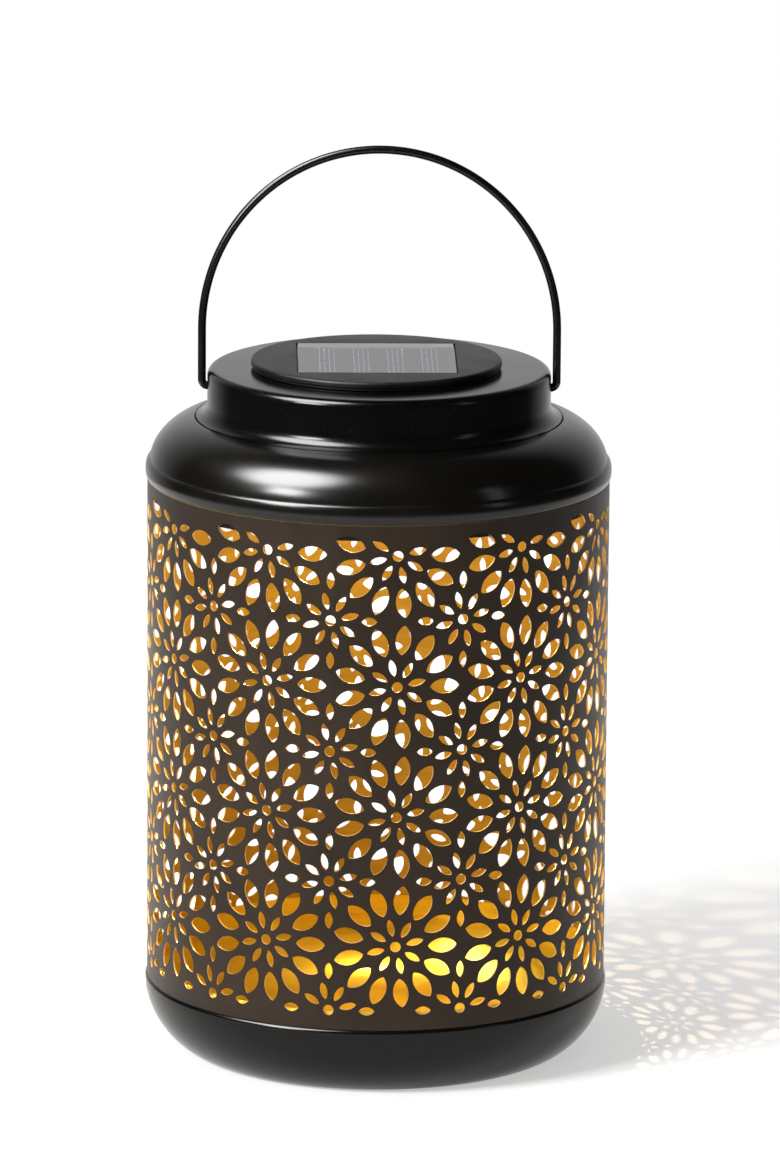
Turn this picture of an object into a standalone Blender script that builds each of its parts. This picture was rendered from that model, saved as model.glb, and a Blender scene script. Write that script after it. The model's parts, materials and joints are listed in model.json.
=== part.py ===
"""Solar lantern of pressed and rolled sheet metal, with a wire bail and a lift-out solar module.

Metres, +Z up. The origin is the centre of the base's underside, and the bail's axis runs along X.
"""
import math

import bmesh
import bpy
from mathutils import Matrix, Vector

MM = 0.001

# Body: heights are above the surface that the lantern stands on.
SHEET_RADIUS = 74.0 * MM
SHEET_WALL = 0.5 * MM
SHEET_HEIGHT = 162.7 * MM
PRESSED_WALL = 0.6 * MM
SEAM_GAP = 0.3 * MM
LEDGE_WIDTH = 0.6 * MM
LEDGE_ROUND = 0.4 * MM
BASE_HEIGHT = 23.6 * MM
BASE_CORNER_WIDTH = 16.3 * MM
BASE_CORNER_DROP = 12.2 * MM
BASE_CORNER_REACH = 5.8 * MM
BASE_LIP = 5.8 * MM
SHOULDER_SKIRT = 5.1 * MM
BEAD_HEIGHT = 6.3 * MM
BEAD_INSET = 0.5 * MM
BEAD_ARC = (55.0, -75.0)
DOME_RISE = 20.6 * MM
SHOULDER_CROWN_INSET = 0.4 * MM
SHOULDER_FOOT_INSET = 0.6 * MM
SHOULDER_FOOT_RISE = 4.5 * MM
NECK_FILLET = 1.6 * MM
COLLAR_HEIGHT = 5.6 * MM
CAP_RADIUS = 54.9 * MM
CAP_HEIGHT = 13.7 * MM
CAP_SEAM = 1.4 * MM
CAP_EDGE_ROUND = 2.5 * MM

# Bail
WIRE_DIAMETER = 2.6 * MM
BAIL_SKIRT_GAP = 0.5 * MM
BAIL_LEG = 18.5 * MM
BAIL_RISE = 58.3 * MM
BAIL_BEND = 2.0 * MM
BAIL_PIN_INSIDE = 4.4 * MM
PIVOT_DROP = 6.3 * MM
PIVOT_CLEARANCE = 0.45 * MM

# Solar module
DISC_OVERLAP = 4.1 * MM
PANEL_MARGIN = 4.4 * MM
DISC_HEIGHT = 2.7 * MM
DISC_EDGE_ROUND = 0.9 * MM
DISC_STEP = 0.5 * MM
MODULE_SHIFT = -0.9 * MM
MODULE_TURN = math.radians(1.0)
PANEL_LENGTH = 50.5 * MM
PANEL_WIDTH = 49.0 * MM
PANEL_THICKNESS = 1.1 * MM
SEAL_INSET = 2.2 * MM
SEAL_WIDTH = 1.6 * MM
SEAL_HEIGHT = 0.8 * MM
HOUSING_MARGIN = 0.75 * MM
HOUSING_DEPTH = 25.0 * MM
HOUSING_WALL = 1.6 * MM
HOUSING_CORNER = 2.0 * MM
HOUSING_PLAY = 1.4 * MM
LUG_REACH = 2.4 * MM
LUG_WIDTH = 9.0 * MM
LUG_HEIGHT = 1.5 * MM
LUG_ANGLES = (60.0, 180.0, 300.0)
FIT_GAP = 0.3 * MM

# Inside the module: a pair is X and Y, from the module's centre or in from the board's edges.
BATTERY_DIAMETER = 10.5 * MM
BATTERY_LENGTH = 44.5 * MM
BATTERY_NUB_LENGTH = 1.2 * MM
BATTERY_NUB_DIAMETER = 3.8 * MM
BATTERY_SHOULDER_ROUND = 0.5 * MM
BATTERY_FOOT_ROUND = 0.3 * MM
BATTERY_LENS_GAP = 0.45 * MM
BATTERY_PLAY = 0.4 * MM
CRADLE_WALL = 1.2 * MM
CRADLE_HEIGHT = 10.0 * MM
DOOR_THICKNESS = 1.4 * MM
DOOR_INSET = 1.6 * MM
FINGER_NOTCH = 1.4 * MM
FINGER_NOTCH_LENGTH = 8.0 * MM
FINGER_NOTCH_INSET = 2.4 * MM
PLATE_THICKNESS = 0.5 * MM
PLATE_WIDTH = 8.0 * MM
PLATE_RISE = 1.0 * MM
SPRING_LENGTH = 3.0 * MM
SPRING_WIRE = 0.7 * MM
SPRING_TURNS = 3
SPRING_DIAMETER = 7.0 * MM
SPRING_TAPER = 0.25
LED_DIAMETER = 5.0 * MM
LED_HEIGHT = 8.6 * MM
LED_TIP_DROP = 0.9 * MM
LED_COLLAR_WIDTH = 0.4 * MM
LED_COLLAR_HEIGHT = 1.0 * MM
LENS_DIAMETER = 9.4 * MM
LENS_WALL = 1.2 * MM
LENS_FLANGE = 12.4 * MM
LENS_FLANGE_HEIGHT = 1.0 * MM
BOARD_WIDTH = 21.0 * MM
BOARD_THICKNESS = 1.6 * MM
PAD_INSET = 2.4 * MM
BOARD_CRADLE_GAP = 2.65 * MM
BOARD_BOSS_GAP = 1.4 * MM
POST_INSET = (7.0 * MM, 4.0 * MM)
POST_DIAMETER = 5.2 * MM
SCREW_SHANK = 2.2 * MM
SCREW_HEAD = 5.0 * MM
SCREW_HEAD_HEIGHT = 1.3 * MM
SCREW_HEAD_CROWN = 3.5 * MM
BOARD_SCREW_LENGTH = 5.0 * MM
HOUSING_SCREW_LENGTH = 10.0 * MM
BOSS_DIAMETER = 5.6 * MM
BOSS_INSET = 2.2 * MM
BOSS_ANGLES = (30.0, 150.0, 270.0)
SWITCH_INSET = (5.0 * MM, 7.0 * MM)
SWITCH_SIZE = (8.6 * MM, 4.4 * MM, 3.5 * MM)
SWITCH_TRAVEL = 3.0 * MM
KNOB_SIZE = (4.0 * MM, 2.6 * MM)
KNOB_REACH = 1.8 * MM
KNOB_EDGE = 0.3 * MM
LEAD_DIAMETER = 1.1 * MM
LEAD_HOLE = (6.0 * MM, 8.0 * MM)
LEAD_HOLE_DIAMETER = 4.4 * MM
LEAD_SPACING = 1.8 * MM
LEAD_STRAIGHT = 1.5 * MM
LEAD_SPREAD = 1.0 * MM
LEAD_ARCH = 3.5 * MM

# How far cutters run past the faces they cut, and joined shapes sink into each other
CUT_PAST = 1.0 * MM
JOIN_DEPTH = 0.6 * MM

# Facets round a full turn
SHELL_FACETS = 48
DISC_FACETS = 48
SMALL_FACETS = 20
SCREW_FACETS = 12

# Worked out from the sizes above: the body
RIM_RADIUS = SHEET_RADIUS + LEDGE_WIDTH
BASE_FOOT_RADIUS = RIM_RADIUS - BASE_CORNER_WIDTH
SKIRT_RADIUS = SHEET_RADIUS - SHEET_WALL - SEAM_GAP
SHEET_BOTTOM = BASE_HEIGHT + SEAM_GAP
SHEET_TOP = SHEET_BOTTOM + SHEET_HEIGHT
BEAD_BOTTOM = SHEET_TOP + SEAM_GAP
BEAD_TOP = BEAD_BOTTOM + BEAD_HEIGHT
SHOULDER_TOP = BEAD_BOTTOM + DOME_RISE
CAP_SKIRT_BOTTOM = SHOULDER_TOP + CAP_SEAM
CAP_TOP = CAP_SKIRT_BOTTOM + CAP_HEIGHT
COLLAR_RADIUS = CAP_RADIUS - PRESSED_WALL - SEAM_GAP
PIVOT_Z = CAP_TOP - PIVOT_DROP
BAIL_HALF_WIDTH = CAP_RADIUS + BAIL_SKIRT_GAP + WIRE_DIAMETER / 2

# The battery and its cradle, which set the housing's radius
PLATE_X = BATTERY_LENGTH / 2 + FIT_GAP + PLATE_THICKNESS / 2
SPRING_START = -BATTERY_LENGTH / 2 - FIT_GAP
CRADLE_RIGHT = PLATE_X + PLATE_THICKNESS / 2 + FIT_GAP
CRADLE_LEFT = SPRING_START - SPRING_LENGTH - FIT_GAP
CRADLE_HALF_WIDTH = BATTERY_DIAMETER / 2 + BATTERY_PLAY
BATTERY_Y = -(LENS_FLANGE / 2 + BATTERY_LENS_GAP + CRADLE_WALL + CRADLE_HALF_WIDTH)
CRADLE_FRONT = BATTERY_Y - CRADLE_HALF_WIDTH - CRADLE_WALL
CRADLE_BACK = BATTERY_Y + CRADLE_HALF_WIDTH + CRADLE_WALL
HOUSING_RADIUS = math.hypot(CRADLE_LEFT - CRADLE_WALL, CRADLE_FRONT) + HOUSING_MARGIN

# The module's hole, disc and seal
MODULE_HOLE_RADIUS = HOUSING_RADIUS + HOUSING_PLAY
PANEL_CORNER = math.hypot(PANEL_LENGTH / 2 + FIT_GAP, PANEL_WIDTH / 2 + FIT_GAP)
DISC_RADIUS = max(MODULE_HOLE_RADIUS + DISC_OVERLAP, PANEL_CORNER + PANEL_MARGIN)
SEAL_RADIUS = DISC_RADIUS - SEAL_INSET
DISC_BOTTOM = CAP_TOP + FIT_GAP
DISC_TOP = DISC_BOTTOM + DISC_HEIGHT
PANEL_RECESS_FLOOR = DISC_TOP - PANEL_THICKNESS - FIT_GAP

# Heights and places inside the housing
HOUSING_TOP = DISC_BOTTOM - FIT_GAP
HOUSING_BOTTOM = HOUSING_TOP - HOUSING_DEPTH
FLOOR_TOP = HOUSING_BOTTOM + HOUSING_WALL
CRADLE_TOP = HOUSING_BOTTOM + CRADLE_HEIGHT
BATTERY_Z = HOUSING_BOTTOM + DOOR_THICKNESS + FIT_GAP + BATTERY_DIAMETER / 2
LED_TOP = HOUSING_BOTTOM - LED_TIP_DROP + LED_HEIGHT
BOARD_BOTTOM = LED_TOP + FIT_GAP
BOARD_TOP = BOARD_BOTTOM + BOARD_THICKNESS
POST_TOP = BOARD_BOTTOM - FIT_GAP
BOSS_RING = HOUSING_RADIUS - HOUSING_WALL - BOSS_DIAMETER / 2 - BOSS_INSET
BOSS_PLACES = [
    (BOSS_RING * math.cos(math.radians(angle)), BOSS_RING * math.sin(math.radians(angle)))
    for angle in BOSS_ANGLES
]
BOARD_LENGTH = 2 * (BOSS_PLACES[0][0] - BOSS_DIAMETER / 2 - BOARD_BOSS_GAP)
BOARD_FRONT = CRADLE_BACK + BOARD_CRADLE_GAP
BOARD_BACK = BOARD_FRONT + BOARD_WIDTH
POST_X = BOARD_LENGTH / 2 - POST_INSET[0]
POST_Y = BOARD_BACK - POST_INSET[1]
POST_PLACES = ((POST_X, POST_Y), (-POST_X, POST_Y))
SWITCH_PLACE = (BOARD_LENGTH / 2 - SWITCH_INSET[0], BOARD_FRONT + SWITCH_INSET[1])


def clear_scene():
    """Empties the scene of objects."""
    for thing in list(bpy.data.objects):
        bpy.data.objects.remove(thing, do_unlink=True)


def make_collection(name):
    """Links a new collection to the scene."""
    collection = bpy.data.collections.new(name)
    bpy.context.scene.collection.children.link(collection)
    return collection


def make_material(name, colour, roughness, metallic, emission=0.0):
    """A Principled material with one colour."""
    material = bpy.data.materials.new(name)
    material.use_nodes = True
    shader = material.node_tree.nodes["Principled BSDF"]
    shader.inputs["Base Color"].default_value = (*colour, 1.0)
    shader.inputs["Roughness"].default_value = roughness
    shader.inputs["Metallic"].default_value = metallic
    if emission:
        shader.inputs["Emission Color"].default_value = (*colour, 1.0)
        shader.inputs["Emission Strength"].default_value = emission
    return material


def add_object(name, mesh, material, collection):
    """A named object with its material, linked to its collection."""
    thing = bpy.data.objects.new(name, mesh)
    collection.objects.link(thing)
    if material is not None:
        mesh.materials.clear()
        mesh.materials.append(material)
    return thing


def smooth(thing):
    """Smooth shading with sharp edges kept."""
    thing.data.shade_smooth()
    thing.data.set_sharp_from_angle(angle=math.radians(35))


def arc(centre, radii, start, end, count):
    """Points (r, z) on a quarter or other part of an ellipse, angles in degrees from +r towards +z."""
    points = []
    for step in range(count + 1):
        angle = math.radians(start + (end - start) * step / count)
        points.append((centre[0] + radii[0] * math.cos(angle), centre[1] + radii[1] * math.sin(angle)))
    return points


def bezier(a, b, c, d, count):
    """Points on a cubic Bezier curve, without its first point."""
    points = []
    for step in range(1, count + 1):
        t = step / count
        weights = ((1 - t) ** 3, 3 * (1 - t) ** 2 * t, 3 * (1 - t) * t**2, t**3)
        points.append(tuple(sum(w * p[i] for w, p in zip(weights, (a, b, c, d))) for i in range(2)))
    return points


def turned(name, outline, facets, material, collection, wall=0.0, closed=False):
    """Turns an outline of (radius, height) points about a vertical axis, and gives it a wall if asked."""
    mesh = bpy.data.meshes.new(name)
    edges = [(i, i + 1) for i in range(len(outline) - 1)]
    if closed:
        edges.append((len(outline) - 1, 0))
    mesh.from_pydata([(r, 0.0, z) for r, z in outline], edges, [])
    thing = add_object(name, mesh, material, collection)
    screw = thing.modifiers.new("Turn", "SCREW")
    screw.axis = "Z"
    screw.angle = math.tau
    screw.steps = facets
    screw.render_steps = facets
    screw.use_merge_vertices = True
    screw.merge_threshold = 0.00001
    screw.use_smooth_shade = True
    if wall:
        shell = thing.modifiers.new("Wall", "SOLIDIFY")
        shell.thickness = wall
        shell.offset = -1.0
        shell.use_even_offset = True
    return thing


def box(name, low, high, material, collection):
    """A box between two corners, with its origin at its centre."""
    mesh = bpy.data.meshes.new(name)
    shape = bmesh.new()
    bmesh.ops.create_cube(shape, size=1.0)
    size = [h - l for l, h in zip(low, high)]
    bmesh.ops.scale(shape, vec=size, verts=shape.verts)
    shape.to_mesh(mesh)
    shape.free()
    thing = add_object(name, mesh, material, collection)
    thing.location = [(l + h) / 2 for l, h in zip(low, high)]
    return thing


def rod(name, diameter, start, end, material, collection, facets=SMALL_FACETS):
    """A cylinder from one point to another."""
    mesh = bpy.data.meshes.new(name)
    shape = bmesh.new()
    line = Vector(end) - Vector(start)
    bmesh.ops.create_cone(
        shape,
        cap_ends=True,
        segments=facets,
        radius1=diameter / 2,
        radius2=diameter / 2,
        depth=line.length,
    )
    bmesh.ops.rotate(shape, verts=shape.verts, matrix=line.to_track_quat("Z", "Y").to_matrix())
    shape.to_mesh(mesh)
    shape.free()
    thing = add_object(name, mesh, material, collection)
    thing.location = (Vector(start) + Vector(end)) / 2
    return thing


def wire(name, diameter, points, material, collection, rings=2):
    """A round wire through points, with flat ends, its object at the origin."""
    curve = bpy.data.curves.new(name, "CURVE")
    curve.dimensions = "3D"
    curve.bevel_depth = diameter / 2
    curve.bevel_resolution = rings
    curve.use_fill_caps = True
    spline = curve.splines.new("POLY")
    spline.points.add(len(points) - 1)
    for slot, point in zip(spline.points, points):
        slot.co = (*point, 1.0)
    curve.materials.append(material)
    thing = bpy.data.objects.new(name, curve)
    collection.objects.link(thing)
    return thing


def boolean(thing, other, operation):
    """Cuts or joins one object with another, which becomes a hidden guide."""
    step = thing.modifiers.new(operation.title() + " " + other.name, "BOOLEAN")
    step.operation = operation
    step.solver = "EXACT"
    step.object = other
    other.hide_render = True
    other.display_type = "WIRE"


def ride(pieces, carrier):
    """Parents pieces to an empty, keeping them where they are."""
    for piece in pieces:
        piece.parent = carrier


def smooth_path(points, per_span):
    """A Catmull-Rom curve through points, as a denser list of points."""
    knots = [Vector(p) for p in points]
    knots = [knots[0] * 2 - knots[1]] + knots + [knots[-1] * 2 - knots[-2]]
    path = []
    for index in range(1, len(knots) - 2):
        a, b, c, d = knots[index - 1 : index + 3]
        for step in range(per_span):
            t = step / per_span
            bend = 2 * a - 5 * b + 4 * c - d
            twist = 3 * b - a - 3 * c + d
            path.append(0.5 * (2 * b + (c - a) * t + bend * t**2 + twist * t**3))
    path.append(knots[-2])
    return path


# ---------------------------------------------------------------- body


def make_base_pan(material, collection):
    """Pressed cup: lip inside the sheet, narrow ledge, near-upright side and a wide soft corner."""
    side_top = (RIM_RADIUS, BASE_HEIGHT - LEDGE_ROUND)
    outline = [
        (SKIRT_RADIUS, BASE_HEIGHT + BASE_LIP),
        (SKIRT_RADIUS, BASE_HEIGHT),
        (RIM_RADIUS - LEDGE_ROUND, BASE_HEIGHT),
    ]
    outline.append(side_top)
    outline += bezier(
        side_top,
        (RIM_RADIUS, side_top[1] - BASE_CORNER_DROP),
        (BASE_FOOT_RADIUS + BASE_CORNER_REACH, 0.0),
        (BASE_FOOT_RADIUS, 0.0),
        8,
    )
    outline.append((0.0, 0.0))
    return turned("base_pan", outline, SHELL_FACETS, material, collection, wall=PRESSED_WALL)


def make_sheet(material, collection):
    """Rolled cylinder between the pan's ledge and the dome's bead."""
    inner = SHEET_RADIUS - SHEET_WALL
    outline = [
        (SHEET_RADIUS, SHEET_TOP),
        (SHEET_RADIUS, SHEET_BOTTOM),
        (inner, SHEET_BOTTOM),
        (inner, SHEET_TOP),
    ]
    return turned("perforated_sheet", outline, SHELL_FACETS, material, collection, closed=True)


def make_dome(material, collection):
    """Pressed shoulder: collar for the cap, concave neck, quarter-ellipse, bead and inner skirt."""
    crown = COLLAR_RADIUS - SHOULDER_CROWN_INSET
    foot = BEAD_BOTTOM + SHOULDER_FOOT_RISE
    swell = SHEET_RADIUS - SHOULDER_FOOT_INSET - crown
    drop = SHOULDER_TOP - foot
    start_angle = math.degrees(math.acos((COLLAR_RADIUS + NECK_FILLET - crown) / swell))
    end_angle = math.degrees(math.asin((BEAD_TOP - foot) / drop))
    shoulder = arc((crown, foot), (swell, drop), start_angle, end_angle, 8)
    bead_centre = (SHEET_RADIUS - BEAD_INSET, BEAD_BOTTOM + BEAD_HEIGHT / 2)
    bead = arc(bead_centre, (LEDGE_WIDTH + BEAD_INSET, BEAD_HEIGHT / 2), *BEAD_ARC, 5)
    fillet_centre = (COLLAR_RADIUS + NECK_FILLET, shoulder[0][1] + NECK_FILLET)
    fillet = arc(fillet_centre, (NECK_FILLET, NECK_FILLET), 180, 270, 2)
    outline = [(COLLAR_RADIUS, SHOULDER_TOP + COLLAR_HEIGHT)]
    outline += fillet[:-1] + shoulder + bead
    outline.append((SKIRT_RADIUS, BEAD_BOTTOM))
    outline.append((SKIRT_RADIUS, BEAD_BOTTOM - SHOULDER_SKIRT))
    return turned("dome", outline, SHELL_FACETS, material, collection, wall=PRESSED_WALL)


def make_cap(material, collection, guides):
    """Flat-topped cap with a rounded edge, the module's hole with its notches, and the bail's two holes."""
    edge = CAP_RADIUS - CAP_EDGE_ROUND
    outline = [(MODULE_HOLE_RADIUS, CAP_TOP)]
    outline += arc((edge, CAP_TOP - CAP_EDGE_ROUND), (CAP_EDGE_ROUND, CAP_EDGE_ROUND), 90, 0, 4)
    outline.append((CAP_RADIUS, CAP_SKIRT_BOTTOM))
    cap = turned("cap", outline, SHELL_FACETS, material, collection, wall=PRESSED_WALL)
    reach = CAP_RADIUS + CUT_PAST
    bore = rod(
        "cut_pivot",
        WIRE_DIAMETER + 2 * PIVOT_CLEARANCE,
        (-reach, 0.0, PIVOT_Z),
        (reach, 0.0, PIVOT_Z),
        None,
        guides,
    )
    boolean(cap, bore, "DIFFERENCE")
    half = LUG_WIDTH / 2 + HOUSING_PLAY
    for index, angle in enumerate(LUG_ANGLES):
        notch = box(
            f"cut_notch_{index + 1}",
            (MODULE_HOLE_RADIUS - LUG_REACH, -half, CAP_TOP - PRESSED_WALL - CUT_PAST),
            (HOUSING_RADIUS + LUG_REACH + HOUSING_PLAY, half, CAP_TOP + CUT_PAST),
            None,
            guides,
        )
        spin_about_z(notch, angle)
        boolean(cap, notch, "DIFFERENCE")
    return cap


def spin_about_z(thing, degrees):
    """Turns an object about the module's upright axis."""
    thing.matrix_world = Matrix.Rotation(math.radians(degrees), 4, "Z") @ Matrix.Translation(thing.location)


def make_bail(material, collection, pivot):
    """One bent wire: pins turned in through the cap, short bends, upright legs and an arch."""
    half = BAIL_HALF_WIDTH
    side = [(CAP_RADIUS - BAIL_PIN_INSIDE, 0.0)]
    corner = half - BAIL_BEND
    for step in range(5):
        angle = math.radians(90.0 * step / 4)
        side.append((corner + BAIL_BEND * math.sin(angle), BAIL_BEND * (1.0 - math.cos(angle))))
    side.append((half, (BAIL_BEND + BAIL_LEG) / 2))
    arch = arc((0.0, BAIL_LEG), (half, BAIL_RISE), 0, 180, 28)
    outline = side + arch + [(-x, z) for x, z in reversed(side)]
    bail = wire("bail", WIRE_DIAMETER, [(x, 0.0, z) for x, z in outline], material, collection, rings=3)
    bail.parent = pivot
    return bail


# ---------------------------------------------------------------- solar module


def make_module_disc(material, collection, guides):
    """Round moulded disc: square recess for the panel, a groove for the seal, three screw bosses."""
    edge = DISC_RADIUS - DISC_EDGE_ROUND
    outline = [(0.0, DISC_TOP)]
    outline += arc((edge, DISC_TOP - DISC_EDGE_ROUND), (DISC_EDGE_ROUND, DISC_EDGE_ROUND), 90, 0, 3)
    outline.append((DISC_RADIUS, DISC_BOTTOM + 2 * DISC_STEP))
    outline.append((DISC_RADIUS - DISC_STEP, DISC_BOTTOM + DISC_STEP))
    outline.append((DISC_RADIUS - DISC_STEP, DISC_BOTTOM))
    outline.append((0.0, DISC_BOTTOM))
    disc = turned("module_disc", outline, DISC_FACETS, material, collection)
    for index, (x, y) in enumerate(BOSS_PLACES):
        boss = rod(
            f"add_boss_{index + 1}",
            BOSS_DIAMETER,
            (x, y, FLOOR_TOP + FIT_GAP),
            (x, y, DISC_BOTTOM + JOIN_DEPTH),
            None,
            guides,
        )
        boolean(disc, boss, "UNION")
        pilot = rod(
            f"cut_boss_{index + 1}",
            SCREW_SHANK + 2 * FIT_GAP,
            (x, y, HOUSING_BOTTOM),
            (x, y, FLOOR_TOP + HOUSING_SCREW_LENGTH + FIT_GAP),
            None,
            guides,
        )
        boolean(disc, pilot, "DIFFERENCE")
    recess = box(
        "cut_recess",
        (-PANEL_LENGTH / 2 - FIT_GAP, -PANEL_WIDTH / 2 - FIT_GAP, PANEL_RECESS_FLOOR),
        (PANEL_LENGTH / 2 + FIT_GAP, PANEL_WIDTH / 2 + FIT_GAP, DISC_TOP + CUT_PAST),
        None,
        guides,
    )
    boolean(disc, recess, "DIFFERENCE")
    inner = SEAL_RADIUS - SEAL_WIDTH / 2 - FIT_GAP
    outer = SEAL_RADIUS + SEAL_WIDTH / 2 + FIT_GAP
    top = DISC_BOTTOM + SEAL_HEIGHT
    low = DISC_BOTTOM - CUT_PAST
    groove = turned(
        "cut_groove",
        [(outer, top), (outer, low), (inner, low), (inner, top)],
        DISC_FACETS,
        None,
        guides,
        closed=True,
    )
    boolean(disc, groove, "DIFFERENCE")
    lead_hole = rod(
        "cut_lead_hole",
        LEAD_HOLE_DIAMETER,
        (*LEAD_HOLE, DISC_BOTTOM - CUT_PAST),
        (*LEAD_HOLE, DISC_TOP),
        None,
        guides,
    )
    boolean(disc, lead_hole, "DIFFERENCE")
    return disc


def make_seal(material, collection):
    """Soft ring between the disc's groove and the cap."""
    inner = SEAL_RADIUS - SEAL_WIDTH / 2
    outer = SEAL_RADIUS + SEAL_WIDTH / 2
    low = CAP_TOP + FIT_GAP
    top = low + SEAL_HEIGHT - FIT_GAP
    outline = [(outer, top), (outer, low), (inner, low), (inner, top)]
    return turned("seal_ring", outline, DISC_FACETS, material, collection, closed=True)


def make_panel(material, collection):
    """Flat solar panel in its recess."""
    low = (-PANEL_LENGTH / 2, -PANEL_WIDTH / 2, PANEL_RECESS_FLOOR + FIT_GAP)
    high = (PANEL_LENGTH / 2, PANEL_WIDTH / 2, PANEL_RECESS_FLOOR + FIT_GAP + PANEL_THICKNESS)
    return box("solar_panel", low, high, material, collection)


def make_housing(material, collection, guides):
    """Cup under the disc: lugs, battery cradle and its door opening, board posts, and holes in the floor."""
    inner = HOUSING_RADIUS - HOUSING_WALL
    outline = [(0.0, FLOOR_TOP), (inner, FLOOR_TOP), (inner, HOUSING_TOP), (HOUSING_RADIUS, HOUSING_TOP)]
    corner = (HOUSING_RADIUS - HOUSING_CORNER, HOUSING_BOTTOM + HOUSING_CORNER)
    outline += arc(corner, (HOUSING_CORNER, HOUSING_CORNER), 0, -90, 3)
    outline.append((0.0, HOUSING_BOTTOM))
    housing = turned("module_housing", outline, DISC_FACETS, material, collection)
    lug_top = CAP_TOP - PRESSED_WALL - 3 * FIT_GAP
    for index, angle in enumerate(LUG_ANGLES):
        lug = box(
            f"add_lug_{index + 1}",
            (HOUSING_RADIUS - JOIN_DEPTH, -LUG_WIDTH / 2, lug_top - LUG_HEIGHT),
            (HOUSING_RADIUS + LUG_REACH, LUG_WIDTH / 2, lug_top),
            None,
            guides,
        )
        spin_about_z(lug, angle)
        boolean(housing, lug, "UNION")
    cradle = box(
        "add_cradle",
        (CRADLE_LEFT - CRADLE_WALL, CRADLE_FRONT, FLOOR_TOP - JOIN_DEPTH),
        (CRADLE_RIGHT + CRADLE_WALL, CRADLE_BACK, CRADLE_TOP),
        None,
        guides,
    )
    boolean(housing, cradle, "UNION")
    hollow = box(
        "cut_cradle",
        (CRADLE_LEFT, BATTERY_Y - CRADLE_HALF_WIDTH, FLOOR_TOP),
        (CRADLE_RIGHT, BATTERY_Y + CRADLE_HALF_WIDTH, CRADLE_TOP + CUT_PAST),
        None,
        guides,
    )
    boolean(housing, hollow, "DIFFERENCE")
    low, high = door_corners(FIT_GAP, HOUSING_BOTTOM - CUT_PAST, FLOOR_TOP + CUT_PAST)
    door = box("cut_door", low, high, None, guides)
    boolean(housing, door, "DIFFERENCE")
    for index, (x, y) in enumerate(POST_PLACES):
        post = rod(
            f"add_post_{index + 1}",
            POST_DIAMETER,
            (x, y, FLOOR_TOP - JOIN_DEPTH),
            (x, y, POST_TOP),
            None,
            guides,
        )
        boolean(housing, post, "UNION")
        pilot = rod(
            f"cut_post_{index + 1}",
            SCREW_SHANK + 2 * FIT_GAP,
            (x, y, POST_TOP - BOARD_SCREW_LENGTH),
            (x, y, POST_TOP + CUT_PAST),
            None,
            guides,
        )
        boolean(housing, pilot, "DIFFERENCE")
    holes = [("lens", 0.0, 0.0, LENS_DIAMETER + 2 * FIT_GAP)]
    holes += [(f"screw_{i + 1}", x, y, SCREW_SHANK + 2 * FIT_GAP) for i, (x, y) in enumerate(BOSS_PLACES)]
    for name, x, y, diameter in holes:
        hole = rod(
            f"cut_floor_{name}",
            diameter,
            (x, y, HOUSING_BOTTOM - CUT_PAST),
            (x, y, FLOOR_TOP + CUT_PAST),
            None,
            guides,
        )
        boolean(housing, hole, "DIFFERENCE")
    x, y = SWITCH_PLACE
    half_length = (SWITCH_TRAVEL + KNOB_SIZE[0]) / 2 + FIT_GAP
    half_width = KNOB_SIZE[1] / 2 + FIT_GAP
    slot = box(
        "cut_switch_slot",
        (x - half_length, y - half_width, HOUSING_BOTTOM - CUT_PAST),
        (x + half_length, y + half_width, FLOOR_TOP + CUT_PAST),
        None,
        guides,
    )
    boolean(housing, slot, "DIFFERENCE")
    return housing


def door_corners(gap, low_z, high_z):
    """Corners of the battery door, or of its opening with a gap all round."""
    half = CRADLE_HALF_WIDTH
    low = (CRADLE_LEFT + DOOR_INSET - gap, BATTERY_Y - half - gap, low_z)
    high = (CRADLE_RIGHT - DOOR_INSET + gap, BATTERY_Y + half + gap, high_z)
    return low, high


def make_door(material, collection, guides):
    """Snap-in battery door, flush with the housing's floor, with a finger notch."""
    low, high = door_corners(0.0, HOUSING_BOTTOM, HOUSING_BOTTOM + DOOR_THICKNESS)
    door = box("battery_door", low, high, material, collection)
    middle = (low[0] + high[0]) / 2
    notch_y = low[1] + FINGER_NOTCH_INSET
    notch = rod(
        "cut_finger_notch",
        FINGER_NOTCH,
        (middle - FINGER_NOTCH_LENGTH / 2, notch_y, HOUSING_BOTTOM),
        (middle + FINGER_NOTCH_LENGTH / 2, notch_y, HOUSING_BOTTOM),
        None,
        guides,
        facets=8,
    )
    boolean(door, notch, "DIFFERENCE")
    return door


def make_board(material, collection, guides):
    """Circuit board over the posts, drilled for its two screws."""
    low = (-BOARD_LENGTH / 2, BOARD_FRONT, BOARD_BOTTOM)
    high = (BOARD_LENGTH / 2, BOARD_BACK, BOARD_TOP)
    board = box("circuit_board", low, high, material, collection)
    for index, (x, y) in enumerate(POST_PLACES):
        hole = rod(
            f"cut_board_{index + 1}",
            SCREW_SHANK + 2 * FIT_GAP,
            (x, y, BOARD_BOTTOM - CUT_PAST),
            (x, y, BOARD_TOP + CUT_PAST),
            None,
            guides,
        )
        boolean(board, hole, "DIFFERENCE")
    return board


def make_screw(name, place, seat, length, up, material, collection):
    """Pan-head screw: its head rests on the seat, and its shank points down, or up if asked."""
    head = SCREW_HEAD / 2
    shank = SCREW_SHANK / 2
    under = FIT_GAP
    outline = [
        (0.0, under + SCREW_HEAD_HEIGHT),
        (SCREW_HEAD_CROWN / 2, under + SCREW_HEAD_HEIGHT),
        (head, under + SCREW_HEAD_HEIGHT / 2),
        (head, under),
        (shank, under),
        (shank, shank - length),
        (0.0, -length),
    ]
    screw = turned(name, outline, SCREW_FACETS, material, collection)
    screw.location = (place[0], place[1], seat)
    if up:
        screw.rotation_euler = (math.pi, 0.0, 0.0)
    return screw


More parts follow.
